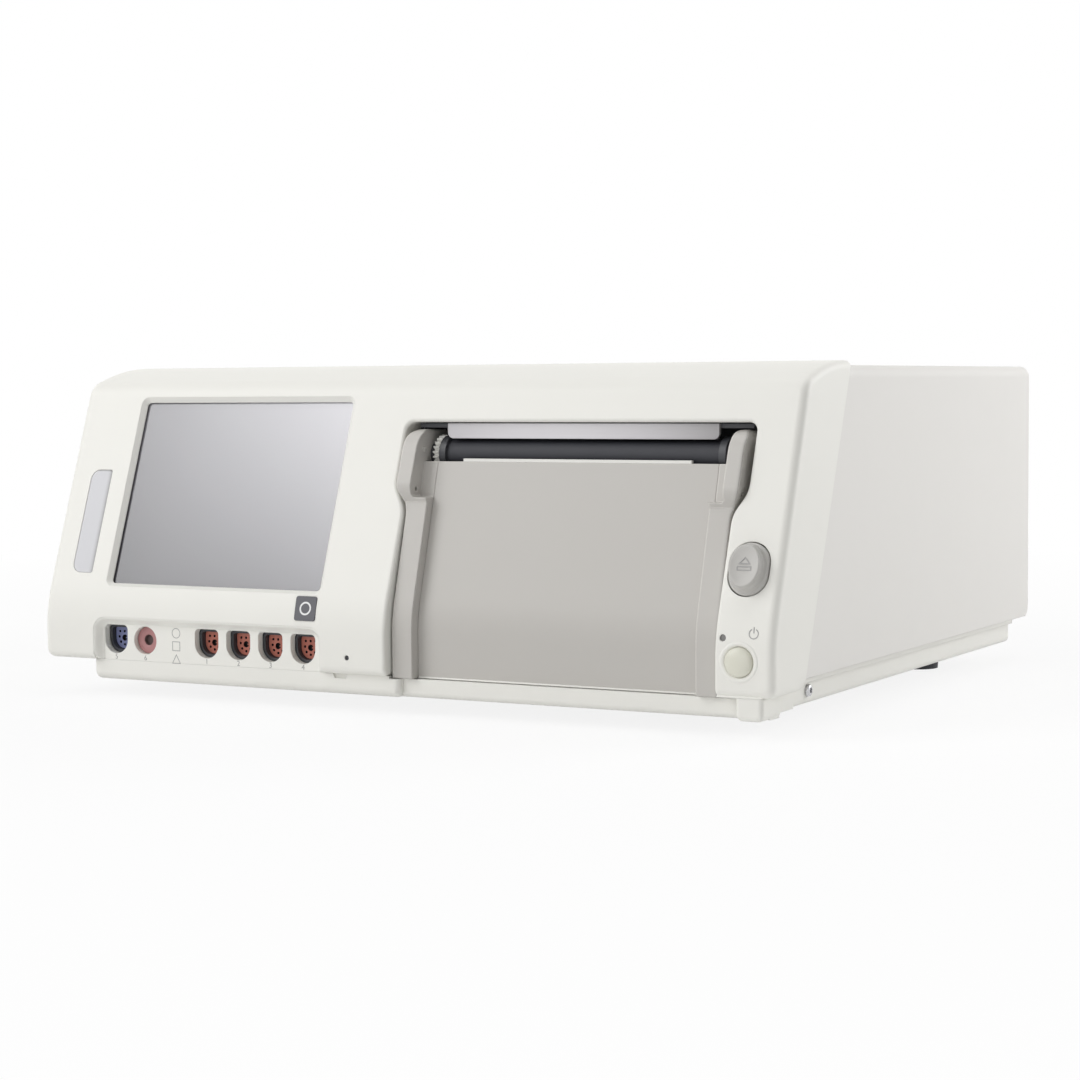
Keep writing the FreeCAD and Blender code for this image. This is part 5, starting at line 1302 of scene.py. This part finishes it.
@dataclass
class ButtonStrip(Assembly):
    """The eject button, the power button and the lamps."""

    finishes = {
        Skin.BUTTON: ["eject_button"],
        Skin.IVORY: ["power_button"],
        Skin.DARK: ["eject_guide", "power_switch", "light_sensor"],
        Skin.LENS: ["power_lamp"],
    }
    face_lean: float = 19.5
    face_start: float = 46.5
    eject_x: float = 194.7
    eject_z: float = 77.4
    eject_steps: int = 56
    eject_rings: tuple[Triple, ...] = (
        (9.9, 12.65, -4.0), (9.9, 12.65, -0.4), (9.85, 12.6, 0.2), (9.7, 12.45, 0.65), (9.45, 12.25, 0.9),
        (9.15, 11.95, 1.0), (8.9, 11.65, 1.3), (8.7, 11.4, 1.9), (8.6, 11.25, 2.7), (8.5, 11.15, 3.3),
        (8.3, 10.95, 3.75), (8.05, 10.7, 4.0), (7.9, 10.5, 4.3), (7.8, 10.4, 5.0), (7.75, 10.35, 5.9),
        (7.6, 10.15, 6.35), (7.3, 9.8, 6.6), (6.9, 9.35, 6.6), (6.2, 8.5, 6.4), (5.1, 7.1, 6.1),
        (3.8, 5.4, 5.9), (2.2, 3.2, 5.78), (0.7, 1.1, 5.74),
    )
    power_x: float = 194.1
    power_z: float = 35.6
    dome_steps: int = 48
    rim_steps: int = 56
    power_profile: Points = (
        (0.0, -13.0), (2.5, -13.0), (2.5, -4.0), (6.9, -4.0), (6.95, -0.6), (6.9, 0.1), (6.65, 0.6),
        (6.1, 1.1), (5.2, 1.5), (4.0, 1.85), (2.6, 2.1), (1.2, 2.22), (0.0, 2.25),
    )
    rim_profile: Points = (
        (7.0, -1.2), (7.02, -0.7), (7.3, -0.25), (7.8, 0.12), (8.4, 0.3), (9.0, 0.28), (9.5, 0.1),
        (9.7, -0.15), (9.7, -1.2), (7.0, -1.2),
    )
    sign_arrow: Points = ((-3.1, 0.8), (3.1, 0.8), (0.0, 4.2))
    sign_bar: tuple[float, ...] = (-3.6, 3.6, -2.3, -0.2)
    stroke: Stroke = Stroke(0.42, 5.55, 0.5)

    def eject_loops(self) -> list[list[Triple]]:
        """Draw the eject button's ovals, straight-sided at the foot and elliptical from 1 mm up.

        Returns:
            The ovals, from the foot to the dish.
        """
        loops = []
        for wide, tall, level in self.eject_rings:
            longer = (tall - wide) * min(1.0, max(0.0, 1.0 - level))
            bend = tall - longer
            unit = circle(1.0, level, self.eject_steps)
            loops.append([(wide * x, bend * y + math.copysign(longer, y), z) for x, y, z in unit])
        return loops

    def build(self) -> None:
        """Model the domed power button in its rim, and the dished eject button with its sign."""
        power = Spot(self.power_x, FRONT.nose, self.power_z)
        dome = Shaper()
        dome.lathe(self.power_profile, self.dome_steps)
        dome.settle(power)
        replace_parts(dome.piece("power_dome", Skin.IVORY, "power", "button_plastic"), "power_button")
        rim = Shaper()
        rim.lathe(self.rim_profile, self.rim_steps)
        rim.settle(power)
        for vertex in rim.mesh.verts:
            vertex.co.y += FRONT.back(vertex.co.z / MM) * MM
        rim.piece("power_rim", Skin.BEZEL, "housing", "bezel_plastic")
        back = (self.eject_z - self.face_start) * math.tan(math.radians(self.face_lean))
        seat = Spot(self.eject_x, FRONT.nose + back, self.eject_z, self.face_lean)
        button = Shaper()
        button.skin(self.eject_loops())
        button.settle(seat)
        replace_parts(button.piece("eject_cap", Skin.BUTTON, "eject", "button_plastic"), "eject_button")
        sign = Shaper()
        for shape in (self.sign_arrow, rectangle(*self.sign_bar)):
            sign.outline(shape, self.stroke)
        sign.settle(seat)
        sign.piece("eject_sign", Skin.INK, "eject", "button_plastic", False)


@dataclass
class PaperDrawer(Assembly):
    """The drawer front, its slab, tray and rails."""

    finishes = {
        Skin.ARMS: ["drawer_front"],
        Skin.DRAWER: ["paper_slab", "paper_tray"],
        Skin.WHITE: ["paper_guide"],
        Skin.DARK: ["drawer_rail_left", "drawer_rail_right"],
    }
    bead_shares: Points = ((15.9, 0.5), (16.3, 1.0), (169.1, 1.0), (169.5, 0.5))
    foot_y: float = -183.8
    foot_z: float = 17.78
    bead: float = 0.55
    bead_steps: int = 6

    def build(self) -> None:
        """Model the white bead along the slab's foot, half as proud at its ends: a painted highlight line
        that also covers the dark gap above the sill.
        """
        loops = []
        for x, share in self.bead_shares:
            loop = []
            for turn in (math.pi * step / self.bead_steps for step in range(self.bead_steps + 1)):
                up = self.foot_z + self.bead - self.bead * math.cos(turn)
                loop.append((x, up, -self.foot_y + self.bead * share * math.sin(turn)))
            loops.append(loop)
        skirt = Shaper()
        skirt.skin(loops)
        skirt.settle(Spot())
        # The bead is coloured lighter than the drawer as a painted highlight line.
        skirt.piece("slab_bead", Skin.WHITE, "drawer", "drawer_plastic")


class Recorder(Assembly):
    """The platen, its drive, the print head and the tear bar."""

    finishes = {
        Skin.RUBBER: ["platen_rubber"],
        Skin.DARK: [
            "platen_collars", "platen_bush_left", "platen_bush_right", "recorder_frame", "print_head",
        ],
        Skin.WHITE: ["platen_gear"],
        Skin.STEEL: ["platen_shaft", "paper_motor", "motor_pinion"],
        Skin.BAR: ["tear_bar"],
    }


@dataclass
class RearFittings(Assembly):
    """What sits on the rear panel, and the units inside."""

    finishes = {
        Skin.DARK: ["mains_inlet", "loudspeaker", "cuff_pump"],
        Skin.STEEL: ["earth_post", "board_posts", "rear_screws", "side_screws"],
        Skin.SHEET: ["slot_plates", "power_supply"],
        Skin.BOARD: ["main_board"],
    }
    turn: float = 180
    panel_screws: tuple[Triple, ...] = tuple((x, 183.6, z) for x in (-196.5, 196.5) for z in (47.0, 156.8))
    plate_screws: tuple[Triple, ...] = tuple((x, 185.2, z) for x in (-54.0, 54.0) for z in (62.0, 92.0))
    flange_screws: tuple[Triple, ...] = ((130.0, 186.6, 52.0), (170.0, 186.6, 52.0))

    def build(self) -> None:
        """Model the screw heads on the rear panel, the slot plates and the mains inlet."""
        screws, small = Shaper(), Shaper()
        for shaper, head, places in (
            (screws, Head.SHELL, self.panel_screws),
            (small, Head.PLATE, self.plate_screws),
            (small, Head.FLANGE, self.flange_screws),
        ):
            for place in places:
                shaper.screw(Spot(*place, turn=self.turn), head)
        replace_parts(screws.piece("rear_screw_heads", Skin.STEEL, "housing", "steel"), "rear_screws")
        small.piece("plate_screws", Skin.STEEL, "housing", "steel")


@dataclass(frozen=True)
class SoftBox:
    """A square lamp that faces the monitor: place and side in metres, power in watts."""

    name: str
    place: Triple
    side: float
    power: float
    target: ClassVar[Vector] = Vector((0, 0, 0.08))

    def build(self) -> None:
        """Hang the lamp."""
        data = bpy.data.lights.new(self.name, "AREA")
        data.size = self.side
        data.energy = self.power
        lamp = added(self.name, data)
        lamp.location = self.place
        aim = self.target - Vector(self.place)
        lamp.rotation_euler = aim.to_track_quat("-Z", "Y").to_euler()


@dataclass
class Studio:
    """Floor, light, background and camera."""

    camera_mm: Triple = (639.82, -1194.00, 162.25)
    camera_turn: Triple = (28.775, 3.684, -0.4376)
    sensor_mm: float = 36
    focal_share: float = 2409.18 / 1080
    near_clip: float = 0.01
    ambient: float = 0.18
    floor_half: float = 5.0
    floor_drop: float = 0.0005
    floor_grey: float = 0.9
    floor_roughness: float = 0.9
    floor_near: float = 0.86
    floor_reach: Point = (0.35, 1.1)
    lamps: tuple[SoftBox, ...] = (
        SoftBox("key", (-1.5, -1.7, 1.6), 1.6, 33.0),
        SoftBox("top", (0.0, 0.1, 2.2), 1.8, 17.0),
        SoftBox("fill", (0.1, -2.6, 0.4), 1.4, 10.0),
        SoftBox("side", (1.6, 1.5, 0.9), 1.4, 28.0),
    )

    def build(self) -> None:
        """Set up the studio."""
        bpy.context.scene.view_settings.view_transform = "Standard"
        self.make_camera()
        self.make_world()
        self.make_floor()
        for lamp in self.lamps:
            lamp.build()

    def make_camera(self) -> None:
        """Stand the camera where the photograph was taken from."""
        data = bpy.data.cameras.new("camera")
        data.lens = self.focal_share * self.sensor_mm
        data.sensor_width = self.sensor_mm
        data.clip_start = self.near_clip
        bpy.context.scene.camera = added("camera", data)
        bpy.context.scene.camera.matrix_world = facing(self.camera_mm, *self.camera_turn)

    def make_world(self) -> None:
        """Soft light from all round, seen as plain white."""
        world = bpy.data.worlds.new("studio")
        bpy.context.scene.world = world
        world.use_nodes = True
        sky = Wiring(world.node_tree)
        inputs = {"Value": sky.seen(), "To Min": self.ambient, "To Max": 1.0}
        background = world.node_tree.nodes["Background"]
        sky.feed(background.inputs["Strength"], sky.node("ShaderNodeMapRange", inputs=inputs))
        sky.feed(background.inputs["Color"], (1, 1, 1, 1))

    def make_floor(self) -> None:
        """A white floor that keeps a soft shadow."""
        sheet = Shaper()
        level = Matrix.Translation((0, 0, -self.floor_drop))
        bmesh.ops.create_grid(sheet.mesh, x_segments=2, y_segments=2, size=self.floor_half, matrix=level)
        floor = sheet.stand("floor")
        shade = Shade("white_floor")
        shade.put(Base_Color=(*[self.floor_grey] * 3, 1), Roughness=self.floor_roughness)
        away = shade.node("ShaderNodeVectorMath", {"operation": "LENGTH"}, {0: shade.place()}, "Value")
        near, far = self.floor_reach
        inputs = {"Value": away, "From Min": near, "From Max": far, "To Min": self.floor_near, "To Max": 1.0}
        share = shade.seen() * shade.node("ShaderNodeMapRange", inputs=inputs)
        inputs = {0: share, 1: Value(shade, shade.surface.outputs[0]), 2: shade.node("ShaderNodeEmission")}
        blend = shade.node("ShaderNodeMixShader", inputs=inputs)
        shade.feed(shade.tree.nodes["Material Output"].inputs["Surface"], blend)
        floor.data.materials.append(shade.material)


def main() -> None:
    """Build and dress the monitor, then set up the studio."""
    logging.basicConfig(level=logging.INFO, format="%(name)s %(message)s")
    parts = (
        Housing(), DisplayUnit(), SocketRow(), ButtonStrip(), PaperDrawer(), Recorder(), RearFittings(),
    )
    for part in parts:
        part.dress()
    for part in parts:
        part.build()
    Studio().build()


if __name__ == "__main__":
    main()
